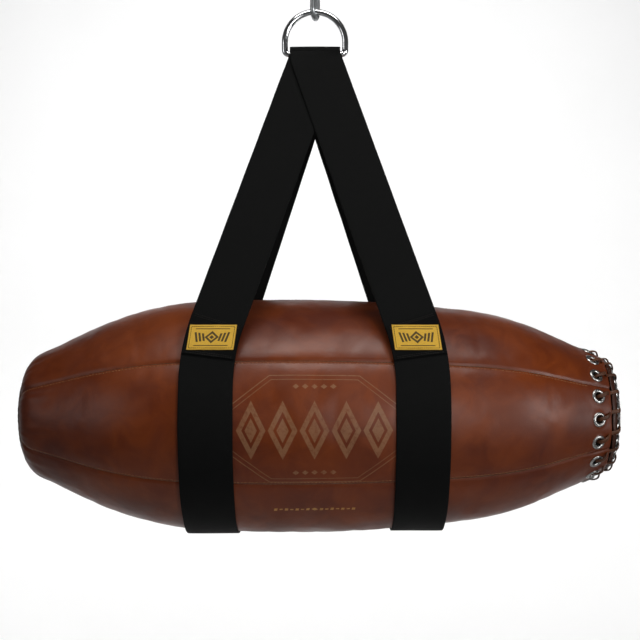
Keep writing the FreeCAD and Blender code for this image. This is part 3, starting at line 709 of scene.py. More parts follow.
def lace_route():
    """(x, radius, turn) of the lace: up out of the cover, over the hem, into the cap, back inside."""
    def spot(line, along, height, share):
        here = np.array([along])
        x, radius = (line.points(here) + line.normals(here) * height)[0]
        return x, radius, share

    def cover_spot(back, height, share):
        return spot(cover, EYELET_ALONG + back, height, share)

    def cap_spot(along, height, share):
        return spot(cap_line, along, height, share)

    to_rim = cover.length - EYELET_ALONG
    stages = [
        cover_spot(0, -9.5 * MM, 0),
        cover_spot(1.2 * MM, -1.0 * MM, 0.01),
        cover_spot(6.5 * MM, 3.3 * MM, 0.06),
        cover_spot(to_rim - 4 * MM, 3.2 * MM, 0.17),
        cap_spot(2.0 * MM, 4.2 * MM, 0.29),
        cap_spot(9.0 * MM, 3.0 * MM, 0.40),
        cap_spot(CAP_EYELET_ALONG - 6.0 * MM, 3.2 * MM, 0.475),
        cap_spot(CAP_EYELET_ALONG - 0.8 * MM, -0.8 * MM, 0.5),
        cap_spot(CAP_EYELET_ALONG, -9.5 * MM, 0.5),
    ]
    under_cap, under_cover = stages[-1], stages[0]
    stages.append((MOUTH_X - 5 * MM, under_cap[1] + 6 * MM, 0.68))
    stages.append((under_cover[0] + 3 * MM, under_cover[1] - 5 * MM, 0.88))
    jitter = np.random.default_rng(5).uniform(-1, 1, (EYELETS, len(stages), 3))
    route = []
    for k in range(EYELETS):
        for s, (x, radius, share) in enumerate(stages):
            loose = 0.7 * MM if s in (3, 4, 5) else 0.0  # where it lies free between hem and cap
            route.append((x + jitter[k, s, 0] * loose * 0.6, radius + abs(jitter[k, s, 1]) * loose,
                          FRONT_TURN - (k + share + jitter[k, s, 2] * 0.02 * (loose > 0)) * PITCH))
    return np.array(route[:-2])


def leather_lace(material):
    """A flat thong, laid along its route with its flat side on the leather."""
    route = lace_route()
    line = catmull(on_bag(route[:, 0], route[:, 1], route[:, 2]), 9)
    gaps = np.linalg.norm(np.diff(line, axis=0), axis=1)
    stations = len(line)
    clear_selection()
    bpy.ops.mesh.primitive_grid_add(x_subdivisions=stations - 1, y_subdivisions=12, size=1)
    lace = rename("thong_lace")
    flat = points_of(lace)
    i = np.rint((flat[:, 0] + 0.5) * (stations - 1)).astype(int)
    angle = (flat[:, 1] + 0.5) * 2 * math.pi
    ahead = np.gradient(line, axis=0)
    ahead /= np.linalg.norm(ahead, axis=1, keepdims=True)
    turn = turns_of(line)
    side = np.stack([0 * turn, -np.cos(turn), -np.sin(turn)], -1)
    side -= ahead * np.sum(side * ahead, axis=1, keepdims=True)
    side /= np.linalg.norm(side, axis=1, keepdims=True)
    up = np.cross(ahead, side)
    along = np.r_[0, np.cumsum(gaps)][i]
    wide = LACE_WIDE / 2 * (1 + 0.05 * dent[0](along / (9 * MM)))
    across = np.sign(np.cos(angle)) * np.abs(np.cos(angle)) ** LACE_SQUARE * wide
    thick = np.sign(np.sin(angle)) * np.abs(np.sin(angle)) ** LACE_SQUARE * LACE_THICK / 2
    place_points(lace, line[i] + side[i] * across[:, None] + up[i] * thick[:, None])
    with_all(lace)
    bpy.ops.mesh.remove_doubles(threshold=MERGE)
    bpy.ops.mesh.select_all(action="DESELECT")
    bpy.ops.mesh.select_non_manifold()
    bpy.ops.mesh.edge_face_add()
    bpy.ops.mesh.select_all(action="SELECT")
    bpy.ops.mesh.normals_make_consistent(inside=False)
    done_editing()
    smooth(lace, 60)
    print("lace length", round(float(gaps.sum()), 3))
    seat(lace, "bag", "lace_leather", material, "lace")


# ------------------------------------------------------------------ slings

WEBBING = 2.2 * MM
ON_LAP = 1.5 * WEBBING  # from the webbing's middle to the top of its lap
LAP = 56 * MM
TOP_BEND, LOW_BEND = 50 * MM, 300 * MM
LABEL_WIDE, LABEL_TALL = 66 * MM, 37 * MM
LABEL_LEAN = math.tan(math.radians(7))


def round_spot(x, height, radius, angle):
    return np.array([x, -radius * math.sin(angle), height + radius * math.cos(angle)])


class Sling:
    """One loop of webbing: over the ring's bar, down both sides and under the bag."""

    def __init__(self, name):
        low, high = strap_box[name]
        self.name = name
        self.side = -1 if name == "left" else 1
        self.foot = FOOT[name]
        self.bag_radius = float(high.y - low.y) / 2 - WEBBING / 2
        self.bar_radius = float(high.z) - BAR_Z - WEBBING / 2
        drop, bends = BAR_Z - AXIS_Z, TOP_BEND + LOW_BEND
        self.lean = math.asin((self.bag_radius - self.bar_radius) / drop)
        self.length = drop * math.cos(self.lean)
        reach = math.hypot(self.length, bends - abs(self.foot))
        self.bend = math.asin(bends / reach) - math.atan2(bends - abs(self.foot), self.length)
        self.top_run = TOP_BEND * self.bend
        self.low_run = LOW_BEND * self.bend
        self.straight = math.dist(self.top_arc(self.bend), self.low_arc(self.bend))
        self.leg_run = self.top_run + self.straight + self.low_run
        self.under_run = self.bag_radius * (math.pi + 2 * self.lean)
        over_run = self.bar_radius * (math.pi - 2 * self.lean)
        self.loop = 2 * self.leg_run + self.under_run + over_run
        print("sling", name, "loop", round(self.loop, 4))

        low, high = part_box(name + "_label")
        runs = np.linspace(0.5 * self.leg_run, self.leg_run, 400)
        heights = np.array([self.spot(run, 0, 0)[2] for run in runs])
        self.label_run = float(np.interp(-float(low.z + high.z) / 2, -heights, runs))
        self.label_middle = float(low.x + high.x) / 2
        self.label_down = self.centreline(self.label_run)[1]

    def top_arc(self, angle):
        return self.side * TOP_BEND * (1 - math.cos(angle)), TOP_BEND * math.sin(angle)

    def low_arc(self, angle):
        across = self.side * (abs(self.foot) - LOW_BEND + LOW_BEND * math.cos(angle))
        return across, self.length - LOW_BEND * math.sin(angle)

    def centreline(self, run):
        """Across, down and heading of a leg's middle, by distance from its top."""
        if run < self.top_run:
            angle = run / TOP_BEND
            return *self.top_arc(angle), angle
        if run < self.top_run + self.straight:
            first, last = np.array(self.top_arc(self.bend)), np.array(self.low_arc(self.bend))
            share = (run - self.top_run) / self.straight
            return *(first + (last - first) * share), self.bend
        angle = self.bend - (run - self.top_run - self.straight) / LOW_BEND
        return *self.low_arc(angle), angle

    def on_leg(self, across, down, out, back=False):
        """A point of the leg from its place on the leg's own plane, and out from it."""
        face = 1 if back else -1
        outward = np.array([0, face * math.cos(self.lean), math.sin(self.lean)])
        along = np.array([0, face * math.sin(self.lean), -math.cos(self.lean)])
        return np.array([across, 0, BAR_Z]) + outward * (self.bar_radius + out) + along * down

    def leg_spot(self, run, across, out, back=False):
        middle, down, heading = self.centreline(run)
        return self.on_leg(middle + across * math.cos(heading),
                           down - self.side * across * math.sin(heading), out, back)

    def spot(self, run, across, out):
        """A point of the loop: run from the top of the front leg, across the webbing, out from its
        middle."""
        run = run % self.loop
        if run < self.leg_run:
            return self.leg_spot(run, across, out)
        run -= self.leg_run
        if run < self.under_run:
            angle = math.pi / 2 - self.lean + run / self.bag_radius
            return round_spot(self.foot + across, AXIS_Z, self.bag_radius + out, angle)
        run -= self.under_run
        if run < self.leg_run:
            return self.leg_spot(self.leg_run - run, across, out, back=True)
        angle = self.lean - math.pi / 2 + (run - self.leg_run) / self.bar_radius
        return round_spot(across, BAR_Z, self.bar_radius + out, angle)

    def label_spot(self, across, up, out):
        """A point over the lap, across and up from the label's middle as the label leans."""
        lean = LABEL_LEAN * self.side
        return self.on_leg(self.label_middle + across - lean * up, self.label_down - up, ON_LAP + out)


slings = {name: Sling(name) for name in ("left", "right")}


def wound(name, sling, start, length, wide, base, steps, wave=0.0):
    """Flat webbing of this length laid along the sling, its underside at base."""
    clear_selection()
    bpy.ops.mesh.primitive_grid_add(x_subdivisions=20, y_subdivisions=steps, size=1)
    band = rename(name)
    flat = points_of(band)
    run = start + (flat[:, 1] + 0.5) * length
    across = flat[:, 0] * wide
    sag = ripple(61 if sling.side < 0 else 62)
    lift = wave * (sag(run / (45 * MM)) * 0.5 + sag(run / (21 * MM) + across / (16 * MM)))
    lift -= 0.25 * MM * bell(wide / 2 - np.abs(across), 3 * MM)
    across = across * (1 + 0.004 * sag(run / (17 * MM) + 3 * sling.side))
    middle = base + WEBBING / 2
    place_points(band, [sling.spot(r, a, middle + o) for r, a, o in zip(run, across, lift)])
    if length >= sling.loop - MM:
        with_all(band)
        bpy.ops.mesh.remove_doubles(threshold=MERGE)
        done_editing()
    half_way = start + length / 2
    spot = Vector(sling.spot(half_way, 0, middle))
    outward = Vector(sling.spot(half_way, 0, MM) - sling.spot(half_way, 0, 0))
    near = min(band.data.polygons, key=lambda face: (face.center - spot).length)
    flipped_if(band, near.normal.dot(outward) < 0)
    walled(band, WEBBING, offset=0)
    eased(band, 0.55 * MM, 50)
    smooth(band, 50)
    return band


def sling_pieces(sling, material):
    """The loop of webbing, and its lap where the label sits."""
    name, wide = sling.name + "_sling", 2 * STRAP_HALF
    strap = wound(name, sling, 0, sling.loop, wide, -WEBBING / 2, 420, 0.22 * MM)
    seat(strap, "sling", "webbing", material, sling.name + "_strap")
    lap = wound(name + "_lap", sling, sling.label_run - LAP / 2, LAP, wide - 0.6 * MM, WEBBING / 2, 24)
    seat(lap, "sling", "webbing", material)


def label_piece(sling, material):
    """Woven label, leaning with the webbing, its corners lifting a little."""
    clear_selection()
    bpy.ops.mesh.primitive_grid_add(x_subdivisions=32, y_subdivisions=18, size=1)
    label = rename(sling.name + "_tag")
    spots = []
    for u, v in points_of(label)[:, :2]:
        corner = (2 * abs(u)) ** 6 * (2 * abs(v)) ** 6
        puff = 0.45 * MM * (1 - (2 * u) ** 4) * (1 - (2 * v) ** 4) + 0.5 * MM * corner
        wavy = 0.18 * MM * math.sin(9 * u + 4 * v + sling.side) + 0.12 * MM * math.sin(21 * u)
        spots.append(sling.label_spot(u * LABEL_WIDE, v * LABEL_TALL, 0.55 * MM + puff + wavy))
    place_points(label, spots)
    walled(label, 0.8 * MM, offset=0)
    eased(label, 0.25 * MM, 50)
    smooth(label, 50)
    seat(label, "sling", "label_cloth", material, sling.name + "_label")


# ------------------------------------------------------------------ stitches


def one_stitch(length, radius):
    """A short thread that dips at both ends."""
    clear_selection()
    bpy.ops.mesh.primitive_cylinder_add(vertices=6, radius=radius, depth=length, end_fill_type="NGON",
                                        rotation=(0, math.pi / 2, 0))
    bpy.ops.object.transform_apply(location=False, rotation=True, scale=False)
    stitch = bpy.context.object
    with_all(stitch)
    for place in (0.0, -0.3 * length, 0.3 * length):
        bpy.ops.mesh.select_all(action="SELECT")
        bpy.ops.mesh.bisect(plane_co=(place, 0, 0), plane_no=(1, 0, 0))
    done_editing()
    co = points_of(stitch)
    end = np.abs(co[:, 0]) / (length / 2)
    co[:, 2] -= 1.3 * radius * end**3
    co[:, 1:] *= (1 - 0.35 * end**4)[:, None]
    place_points(stitch, co)
    smooth(stitch)
    return stitch


def sewn(name, rows, length, radius):
    """Copies of one stitch at every (place, along, up) of the rows, as one piece."""
    stitch = one_stitch(length, radius)
    copies = []
    for place, along, up in rows:
        along = Vector(along).normalized()
        side = Vector(up).cross(along).normalized()
        laid_down = Matrix((along, side, along.cross(side))).transposed().to_4x4()
        laid_down.translation = Vector(place)
        copy = stitch.copy()
        copy.data = stitch.data.copy()
        copy.data.transform(laid_down)
        bpy.context.scene.collection.objects.link(copy)
        copies.append(copy)
    bpy.data.objects.remove(stitch)
    return joined(copies, name)


def seam_stitches(material):
    """Topstitching beside the lengthwise seams."""
    rows = []
    pitch, beside = 5.2 * MM, 3.6 * MM
    for k in range(len(PANELS)):
        seam = FIRST_SEAM + k * PANEL_TURN
        side = 1 if k in (5, 1, 2) else -1
        for i in range(int((cover.length - 40 * MM) / pitch)):
            along = 9 * MM + i * pitch + np.array([0, MM])
            line = cover.points(along)
            turn = seam + side * (beside + SEAM_GAP / 2) / line[:, 1]
            lift = leather_lift(along, turn, line[:, 0], line[:, 1]) + 0.22 * MM
            spot = line + cover.normals(along) * lift[:, None]
            place = on_bag(spot[:, 0], spot[:, 1], turn)
            up = on_bag(np.zeros(2), np.ones(2), turn) - np.array([0, 0, AXIS_Z])
            rows.append((place[0], place[1] - place[0], up[0]))
    stitches = sewn("seam_topstitching", rows, 3.8 * MM, 0.42 * MM)
    seat(stitches, "bag", "label_thread", material)


def label_stitches(material):
    """Stitching all round both labels, inside their edges."""
    rows = []
    pitch, inset = 2.9 * MM, 2.8 * MM
    half_w, half_h = LABEL_WIDE / 2 - inset, LABEL_TALL / 2 - inset
    corners = np.array([(-half_w, -half_h), (half_w, -half_h), (half_w, half_h), (-half_w, half_h)])
    for sling in slings.values():
        up = sling.on_leg(0, 0, MM) - sling.on_leg(0, 0, 0)
        for a, b in zip(corners, np.roll(corners, -1, axis=0)):
            count = round(math.dist(a, b) / pitch)
            for i in range(count):
                share = (i + 0.5) / count
                here = sling.label_spot(*(a + (b - a) * share), 1.35 * MM)
                there = sling.label_spot(*(a + (b - a) * (share + 0.01)), 1.35 * MM)
                rows.append((here, there - here, up))
    stitches = sewn("tag_border_stitching", rows, 2.5 * MM, 0.34 * MM)
    seat(stitches, "sling", "label_thread", material, "label_stitching")


def lap_stitches(material):
    """Two rows across the webbing at each end of both laps."""
    rows = []
    pitch, count, out = 3.3 * MM, 20, ON_LAP + 0.1 * MM
    for sling in slings.values():
        up = sling.on_leg(0, 0, MM) - sling.on_leg(0, 0, 0)
        for row in (-23.5 * MM, 23.5 * MM, -26 * MM, 26 * MM):
            for i in range(count):
                across = (i - (count - 1) / 2) * pitch
                here = sling.spot(sling.label_run + row, across, out)
                there = sling.spot(sling.label_run + row, across + MM, out)
                rows.append((here, there - here, up))
    stitches = sewn("lap_rows_stitching", rows, 2.6 * MM, 0.36 * MM)
    seat(stitches, "sling", "black_thread", material, "lap_stitching")


# ------------------------------------------------------------------ materials


def tint(red, green, blue):
    """Linear colour from its usual 0 to 255 values."""
    def linear(value):
        value /= 255
        return value / 12.92 if value <= 0.04045 else ((value + 0.055) / 1.055) ** 2.4
    return (linear(red), linear(green), linear(blue), 1.0)


class Field:
    """A value that changes over a surface, with arithmetic on it."""

    def __init__(self, tree, socket):
        self.tree, self.socket = tree, socket

    def math(self, operation, *others):
        node = self.tree.nodes.new("ShaderNodeMath")
        node.operation = operation
        self.tree.links.new(self.socket, node.inputs[0])
        for place, other in enumerate(others, start=1):
            if isinstance(other, Field):
                self.tree.links.new(other.socket, node.inputs[place])
            else:
                node.inputs[place].default_value = other
        return Field(self.tree, node.outputs[0])

    def __add__(self, other):
        return self.math("ADD", other)

    def __sub__(self, other):
        return self.math("SUBTRACT", other)

    def __mul__(self, other):
        return self.math("MULTIPLY", other)

    def __abs__(self):
        return self.math("ABSOLUTE")

    def most(self, other):
        return self.math("MAXIMUM", other)

    def ramp(self, low, high):
        """0 at low to 1 at high, smoothly."""
        node = self.tree.nodes.new("ShaderNodeMapRange")
        node.interpolation_type = "SMOOTHSTEP"
        self.tree.links.new(self.socket, node.inputs["Value"])
        node.inputs["From Min"].default_value = low
        node.inputs["From Max"].default_value = high
        return Field(self.tree, node.outputs["Result"])


def link(tree, source, target):
    tree.links.new(source.socket if isinstance(source, Field) else source, target)


def place_of(tree):
    """Object coordinates, in metres, as a vector socket."""
    return tree.nodes.new("ShaderNodeTexCoord").outputs["Object"]


def scaled(tree, vector, scale):
    node = tree.nodes.new("ShaderNodeMapping")
    node.inputs["Scale"].default_value = scale
    link(tree, vector, node.inputs["Vector"])
    return node.outputs["Vector"]


def noise(tree, vector, scale, detail=3.0, rough=0.5, twist=0.0):
    node = tree.nodes.new("ShaderNodeTexNoise")
    link(tree, vector, node.inputs["Vector"])
    node.inputs["Scale"].default_value = scale
    node.inputs["Detail"].default_value = detail
    node.inputs["Roughness"].default_value = rough
    node.inputs["Distortion"].default_value = twist
    return Field(tree, node.outputs["Fac"])


def parts_of(tree, vector):
    """The three numbers of a vector."""
    node = tree.nodes.new("ShaderNodeSeparateXYZ")
    link(tree, vector, node.inputs[0])
    return [Field(tree, socket) for socket in node.outputs]


def cells(tree, vector, scale):
    node = tree.nodes.new("ShaderNodeTexVoronoi")
    link(tree, vector, node.inputs["Vector"])
    node.inputs["Scale"].default_value = scale
    return Field(tree, node.outputs["Distance"])


def mixed(tree, share, first, second):
    """Colour between two, each a colour or a socket."""
    node = tree.nodes.new("ShaderNodeMix")
    node.data_type = "RGBA"
    link(tree, share, node.inputs["Factor"])
    for name, value in (("A", first), ("B", second)):
        socket = next(s for s in node.inputs if s.name == name and s.type == "RGBA")
        if isinstance(value, tuple):
            socket.default_value = value
        else:
            link(tree, value, socket)
    return next(s for s in node.outputs if s.type == "RGBA")


def bumped(tree, height, distance, strength):
    node = tree.nodes.new("ShaderNodeBump")
    node.inputs["Distance"].default_value = distance
    node.inputs["Strength"].default_value = strength
    link(tree, height, node.inputs["Height"])
    return node.outputs["Normal"]


def painted(name, **finish):
    """A new material and its surface shader, with plain values set on the shader."""
    material = bpy.data.materials.new(name)
    material.use_nodes = True
    shader = material.node_tree.nodes["Principled BSDF"]
    for key, value in finish.items():
        shader.inputs[key.replace("_", " ")].default_value = value
    return material, material.node_tree, shader


def group_of(name, inputs, outputs, build):
    """A shader group with number inputs, filled in by build(tree, inputs, outputs)."""
    tree = bpy.data.node_groups.new(name, "ShaderNodeTree")
    for key, value in inputs.items():
        kind = "NodeSocketVector" if value is None else "NodeSocketFloat"
        socket = tree.interface.new_socket(key, in_out="INPUT", socket_type=kind)
        if value is not None:
            socket.default_value = value
    for key in outputs:
        tree.interface.new_socket(key, in_out="OUTPUT", socket_type="NodeSocketFloat")
    start = tree.nodes.new("NodeGroupInput")
    end = tree.nodes.new("NodeGroupOutput")
    build(tree, start.outputs, end.inputs)
    return tree


def placed(tree, group, vector, **values):
    """The group in a material, reading this place, as {output: Field}."""
    node = tree.nodes.new("ShaderNodeGroup")
    node.node_tree = group
    link(tree, vector, node.inputs["Place"])
    for key, value in values.items():
        node.inputs[key.replace("_", " ")].default_value = value
    return {socket.name: Field(tree, socket) for socket in node.outputs}


def build_hide(tree, start, end):
    """Leather: fine pores, soft creases and uneven dye."""
    place = start["Place"]
    pores = cells(tree, place, 620.0)
    pebble = cells(tree, place, 240.0)
    crease = noise(tree, place, 60.0, 4.0, 0.55, 0.6)
    grain = pores * 0.35 + pebble * 0.4 + crease * 0.5
    link(tree, grain * Field(tree, start["Grain"]), end["Height"])
    cloud = noise(tree, place, 7.0, 3.0, 0.5, 0.4).ramp(0.32, 0.68)
    blot = noise(tree, place, 24.0, 4.0, 0.6, 0.8).ramp(0.35, 0.7)
    link(tree, cloud * 0.65 + blot * 0.35, end["Dye"])
    scuff = noise(tree, place, 90.0, 5.0, 0.7, 1.2).ramp(0.62, 0.8)
    link(tree, scuff, end["Scuff"])


def build_rib(tree, start, end):
    """Woven ribs: V runs along the webbing, U across it, both in metres."""
    u, v = parts_of(tree, start["Place"])[:2]
    rib = Field(tree, start["Rib"])
    weft = (v.math("DIVIDE", rib) * (2 * math.pi)).math("SINE")
    warp = (u.math("DIVIDE", rib) * (math.pi * 0.8) + v.math("DIVIDE", rib) * math.pi).math("SINE")
    link(tree, abs(weft) * 0.7 + abs(warp) * 0.45, end["Height"])
    fuzz = noise(tree, start["Place"], 420.0, 3.0, 0.7)
    link(tree, fuzz, end["Fuzz"])


PRINT_RADIUS = 174 * MM  # of the bag where its marks are
GROUPS = {
    "hide": group_of("hide", {"Place": None, "Grain": 1.0}, ["Height", "Dye", "Scuff"], build_hide),
    "rib": group_of("rib", {"Place": None, "Rib": 0.002}, ["Height", "Fuzz"], build_rib),
}


def bag_map(tree):
    """Along the bag from between the slings and round it from the middle of the front, in metres."""
    along, back, height = parts_of(tree, place_of(tree))
    return along, (height - AXIS_Z).math("ARCTAN2", back * -1.0) * PRINT_RADIUS


def toned(colour, share):
    return tuple(min(1, share * c) for c in colour[:3]) + (1.0,)


def leather(name, deep, warm, rough, grain=1.0, marks=None, coat=0.10):
    """Dyed leather: uneven, darker towards the bag's ends, with pale scuffs, and marks if given."""
    material, tree, shader = painted(name, Roughness=rough, Coat_Weight=coat, Coat_Roughness=0.30,
                                     Specular_IOR_Level=0.28)
    place = place_of(tree)
    hide = placed(tree, GROUPS["hide"], place, Grain=grain)
    colour = mixed(tree, hide["Dye"], deep, warm)
    ends = abs(bag_map(tree)[0]).ramp(0.30, 0.47)
    colour = mixed(tree, ends * 0.4, colour, toned(deep, 0.55))
    colour = mixed(tree, hide["Scuff"] * 0.10, colour, toned(warm, 1.9))
    if marks is not None:
        mask, paint = marks(tree)
        colour = mixed(tree, mask, colour, paint)
    link(tree, colour, shader.inputs["Base Color"])
    uneven = noise(tree, place, 11.0, 4.0, 0.6, 0.5).ramp(0.3, 0.7)
    link(tree, (uneven - 0.5) * 0.20 + hide["Scuff"] * 0.08 + rough, shader.inputs["Roughness"])
    link(tree, bumped(tree, hide["Height"], 0.22 * MM, 0.55), shader.inputs["Normal"])
    return material


def bar(along, round_up, middle, lift, half_wide, half_tall, slant=0.0, soft=0.35 * MM):
    """Mask of an upright bar whose sides lean by slant."""
    u = abs(along - middle - (round_up - lift) * slant)
    v = abs(round_up - lift)
    inside = (u - half_wide).most(v - half_tall)
    return inside.ramp(soft, -soft)


def hexagon_edge(along, round_up, lift, half_wide, half_tall, line, soft=0.3 * MM):
    """Mask of a long six-sided frame's outline."""
    u, v = abs(along), abs(round_up - lift)
    out, up = 0.62, 0.784  # which way the slanting sides face
    reach = (v - half_tall).most(u * out + v * up - half_wide * out)
    return (abs(reach) - line).ramp(soft, -soft)


def diamond(along, round_up, middle, lift, half_wide, half_tall, soft=0.06):
    away = abs(along - middle) * (1 / half_wide) + abs(round_up - lift) * (1 / half_tall)
    return away.ramp(1 + soft, 1 - soft)


def diamond_ring(along, round_up, middle, lift, outer, inner, soft=0.06):
    """Mask of a diamond less a smaller one, each given by its half width and half height."""
    hole = diamond(along, round_up, middle, lift, *inner, soft)
    return diamond(along, round_up, middle, lift, *outer, soft) * (hole * -1.0 + 1.0)


def worn(tree, mask, strength):
    """The mask with its paint rubbed thin in places."""
    rub = noise(tree, place_of(tree), 210.0, 4.0, 0.7).ramp(0.30, 0.56)
    broad = noise(tree, place_of(tree), 30.0, 3.0, 0.6).ramp(0.25, 0.6)
    return mask * (rub * 0.45 + broad * 0.25 + 0.30) * strength


def front_marks(tree):
    """Stamped badge between the slings: a row of nested diamonds inside a long six-sided frame."""
    along, up = bag_map(tree)
    lift = -9 * MM
    mask = hexagon_edge(along, up, lift, 160 * MM, 77 * MM, 0.6 * MM)
    mask = mask.most(hexagon_edge(along, up, lift, 150 * MM, 71 * MM, 0.45 * MM))
    big, hole = (20.5 * MM, 41 * MM), (13 * MM, 26 * MM)
    for k in (-2, -1, 0, 1, 2):
        mask = mask.most(diamond_ring(along, up, k * 44 * MM, lift, big, hole, 0.02))
        mask = mask.most(diamond(along, up, k * 44 * MM, lift, 8.5 * MM, 17 * MM, 0.03))
        for above in (61 * MM, -61 * MM):
            mask = mask.most(diamond(along, up, k * 13 * MM, lift + above, 4.6 * MM, 3.6 * MM))
    return worn(tree, mask, 0.50), tint(152, 116, 84)


def lower_marks(tree):
    """Thin row of gilt marks under the badge."""
    along, up = bag_map(tree)
    lift = -139 * MM
    mask = diamond(along, up, 0, lift, 5 * MM, 3.4 * MM)
    for k in range(1, 8):
        tall = (2.4 if k % 2 else 1.3) * MM
        for side in (-1, 1):
            mask = mask.most(bar(along, up, side * (2 + 7.6 * k) * MM, lift, 2.3 * MM, tall, 0.2, 0.2 * MM))
    return worn(tree, mask, 0.85), tint(190, 140, 70)


def webbing():
    """Black ribbed webbing that follows its own length and width."""
    material, tree, shader = painted("black_webbing", Roughness=0.8, Specular_IOR_Level=0.10)
    uv = tree.nodes.new("ShaderNodeUVMap").outputs["UV"]
    place = scaled(tree, uv, (2 * STRAP_HALF, slings["left"].loop, 1))
    rib = placed(tree, GROUPS["rib"], place, Rib=1.9 * MM)
    # Painted shade: the black is darker in the grooves between the ribs and lighter on their tops; the fuzz
    # adds random tone.
    shade = rib["Height"] * 0.55 + rib["Fuzz"] * 0.45
    black = mixed(tree, shade.ramp(0.2, 0.95), tint(3, 3.5, 3.5), tint(11, 12, 12))
    link(tree, black, shader.inputs["Base Color"])
    link(tree, rib["Fuzz"] * 0.2 + 0.62, shader.inputs["Roughness"])
    link(tree, bumped(tree, rib["Height"], 0.35 * MM, 0.8), shader.inputs["Normal"])
    return material


def label_cloth():
    """Golden woven label: nested diamonds, bars at both sides, a line above and below."""
    material, tree, shader = painted("golden_label", Roughness=0.6, Specular_IOR_Level=0.3, Sheen_Weight=0.1)
    uv = tree.nodes.new("ShaderNodeUVMap").outputs["UV"]
    place = scaled(tree, uv, (LABEL_WIDE, LABEL_TALL, 1))
    u, v = parts_of(tree, place)[:2]
    u, v = u - LABEL_WIDE / 2, v - LABEL_TALL / 2
    rib = placed(tree, GROUPS["rib"], place, Rib=0.55 * MM)
    # Painted shade: the gold is darker in the grooves between the woven ribs and lighter on their tops; the
    # fuzz adds random tone.
    weave = rib["Height"] * 0.6 + rib["Fuzz"] * 0.5
    cloth = mixed(tree, weave.ramp(0.1, 1.0), tint(176, 130, 26), tint(222, 178, 60))
    mask = diamond_ring(u, v, 0, 0, (10 * MM, 9.0 * MM), (6.0 * MM, 5.2 * MM))
    mask = mask.most(diamond(u, v, 0, 0, 3.4 * MM, 3.0 * MM))
    for side in (-1, 1):
        for k, tall in enumerate((5.6, 6.4, 7.2)):
            middle = side * (11.6 + 5.0 * k) * MM
            mask = mask.most(bar(u, v, middle, 0, 1.5 * MM, tall * MM, 0.25 * side, 0.2 * MM))
        mask = mask.most(bar(u, v, 0, side * 12.2 * MM, 24 * MM, 0.6 * MM, 0.0, 0.2 * MM))
    inset = 0.8 * MM
    from_inset = (abs(u) - (LABEL_WIDE / 2 - inset)).most(abs(v) - (LABEL_TALL / 2 - inset))
    edge = from_inset.ramp(-0.3 * MM, 0.5 * MM)
    colour = mixed(tree, mask * (rib["Fuzz"] * 0.3 + 0.75), cloth, tint(30, 24, 16))
    colour = mixed(tree, edge * 0.5, colour, tint(120, 84, 22))
    link(tree, colour, shader.inputs["Base Color"])
    link(tree, rib["Fuzz"] * 0.15 + 0.55, shader.inputs["Roughness"])
    link(tree, bumped(tree, rib["Height"] + mask * 0.6, 0.15 * MM, 0.7), shader.inputs["Normal"])
    return material


def cord_finish(name, dark, pale, rough):
    """Twisted thread."""
    material, tree, shader = painted(name, Roughness=rough, Specular_IOR_Level=0.3)
    place = place_of(tree)
    twist = noise(tree, place, 900.0, 2.0, 0.6, 1.0)
    link(tree, mixed(tree, twist.ramp(0.3, 0.7), dark, pale), shader.inputs["Base Color"])
    link(tree, twist * 0.2 + (rough - 0.1), shader.inputs["Roughness"])
    link(tree, bumped(tree, twist, 0.1 * MM, 0.6), shader.inputs["Normal"])
    return material


def metal(name, bright, dull, rough, stain, pits=0.0):
    """Plated steel, with faint stains and handling marks."""
    material, tree, shader = painted(name, Metallic=1.0, Roughness=rough)
    place = place_of(tree)
    cloud = noise(tree, place, 70.0, 4.0, 0.6, 0.5).ramp(0.4, 0.75)
    scratch = noise(tree, scaled(tree, place, (1, 1, 0.15)), 900.0, 2.0, 0.6)
    link(tree, mixed(tree, cloud * stain, bright, dull), shader.inputs["Base Color"])
    link(tree, cloud * stain * 0.3 + scratch * 0.06 + (rough - 0.03), shader.inputs["Roughness"])
    height = scratch * 0.4 + noise(tree, place, 260.0, 3.0, 0.6) * pits
    link(tree, bumped(tree, height, 0.05 * MM, 0.4), shader.inputs["Normal"])
    return material


def cloth_inside(name, dark, pale, scale):
    """Plain cloth or foam inside the bag."""
    material, tree, shader = painted(name, Roughness=0.9, Specular_IOR_Level=0.2)
    place = place_of(tree)
    weave = cells(tree, place, scale)
    link(tree, mixed(tree, weave.ramp(0.1, 0.6), pale, dark), shader.inputs["Base Color"])
    link(tree, weave * 0.1 + 0.85, shader.inputs["Roughness"])
    link(tree, bumped(tree, weave, 0.3 * MM, 0.7), shader.inputs["Normal"])
    return material


def studio_white():
    """Matt white of the floor and the wall."""
    material, tree, shader = painted("studio_white", Roughness=0.9, Specular_IOR_Level=0.1)
    place = place_of(tree)
    faint = noise(tree, place, 3.0, 2.0)
    link(tree, mixed(tree, faint, (0.93, 0.93, 0.93, 1), (0.96, 0.96, 0.96, 1)), shader.inputs["Base Color"])
    return material


# ------------------------------------------------------------------ the whole bag


def dress(name, material):
    """Material of a CAD node that stays as it is."""
    node = nodes[name]
    node.data.materials.clear()
    node.data.materials.append(material)


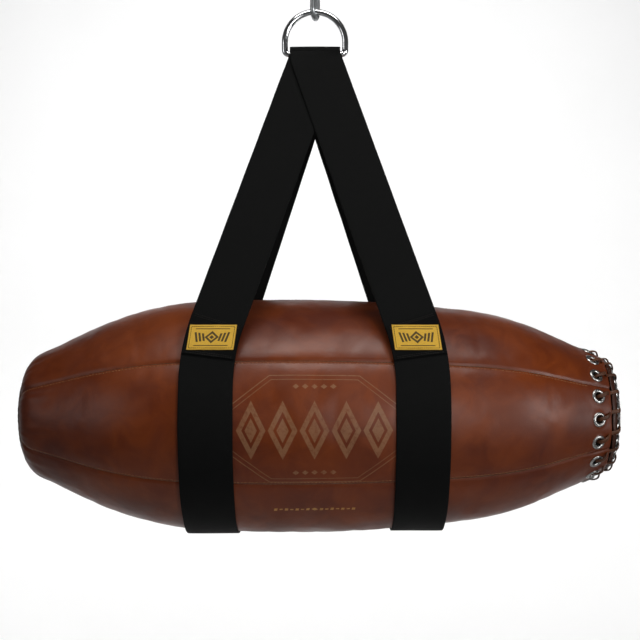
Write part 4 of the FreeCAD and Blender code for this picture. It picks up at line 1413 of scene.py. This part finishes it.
def main():
    deep, warm = tint(80, 28, 6), tint(118, 52, 12)
    hide = leather("brown_leather", deep, warm, 0.46)
    badge = leather("brown_leather_with_badge", deep, warm, 0.46, marks=front_marks)
    gilt = leather("brown_leather_with_gilt", deep, warm, 0.46, marks=lower_marks)
    for index, name in enumerate(PANELS):
        leather_panel(index, {"front": badge, "lower_front": gilt}.get(name, hide))
    end_hide = leather("dark_end_leather", tint(44, 20, 10), tint(74, 36, 18), 0.46)
    left_disc(leather("round_end_leather", tint(60, 24, 10), tint(92, 42, 18), 0.48))
    right_cap(end_hide)
    hem_band(leather("facing_leather_finish", tint(60, 30, 16), tint(104, 58, 32), 0.6, coat=0.0))
    thong = leather("thong_leather", tint(46, 24, 13), tint(112, 66, 38), 0.5, grain=0.7, coat=0.05)
    leather_lace(thong)
    dress("lace_knots", thong)

    web = webbing()
    tag = label_cloth()
    for sling in slings.values():
        sling_pieces(sling, web)
        label_piece(sling, tag)
    tan_thread = cord_finish("tan_thread", tint(104, 64, 38), tint(168, 118, 78), 0.6)
    dark_thread = cord_finish("black_thread_finish", tint(10, 9, 8), tint(34, 30, 26), 0.6)
    seam_stitches(tan_thread)
    label_stitches(dark_thread)
    lap_stitches(dark_thread)

    chrome = metal("chrome_plate", (0.80, 0.81, 0.83, 1), (0.52, 0.53, 0.55, 1), 0.09, 0.35)
    zinc = metal("zinc_plate", (0.50, 0.52, 0.53, 1), (0.30, 0.32, 0.33, 1), 0.30, 0.7, 0.6)
    nickel = metal("nickel_plate", (0.46, 0.46, 0.45, 1), (0.22, 0.21, 0.20, 1), 0.24, 0.7, 0.3)
    dress("d_ring", chrome)
    dress("hanging_link", zinc)
    for name in ("body_eyelets", "cap_eyelets", "body_washers", "cap_washers"):
        dress(name, nickel)
    canvas = cloth_inside("canvas_cloth", tint(92, 84, 66), tint(142, 132, 106), 700.0)
    seam_tape_strips(cloth_inside("dark_tape", tint(20, 12, 8), tint(40, 26, 18), 700.0))
    foam = cloth_inside("grey_foam", tint(60, 60, 62), tint(110, 110, 112), 260.0)
    rag = cloth_inside("textile_scraps", tint(70, 72, 80), tint(150, 146, 140), 60.0)
    board = cloth_inside("fibre_board", tint(70, 52, 36), tint(104, 82, 60), 420.0)
    for name, slot, material in (
        ("lining", "canvas", canvas), ("fill_sack", "canvas", canvas),
        ("foam_wrap", "foam", foam), ("left_end_pad", "foam", foam), ("right_end_pad", "foam", foam),
        ("textile_fill", "textile", rag), ("cap_backing", "board", board),
    ):
        dress(name, material)


add_camera()
add_lights()
add_stage()
main()
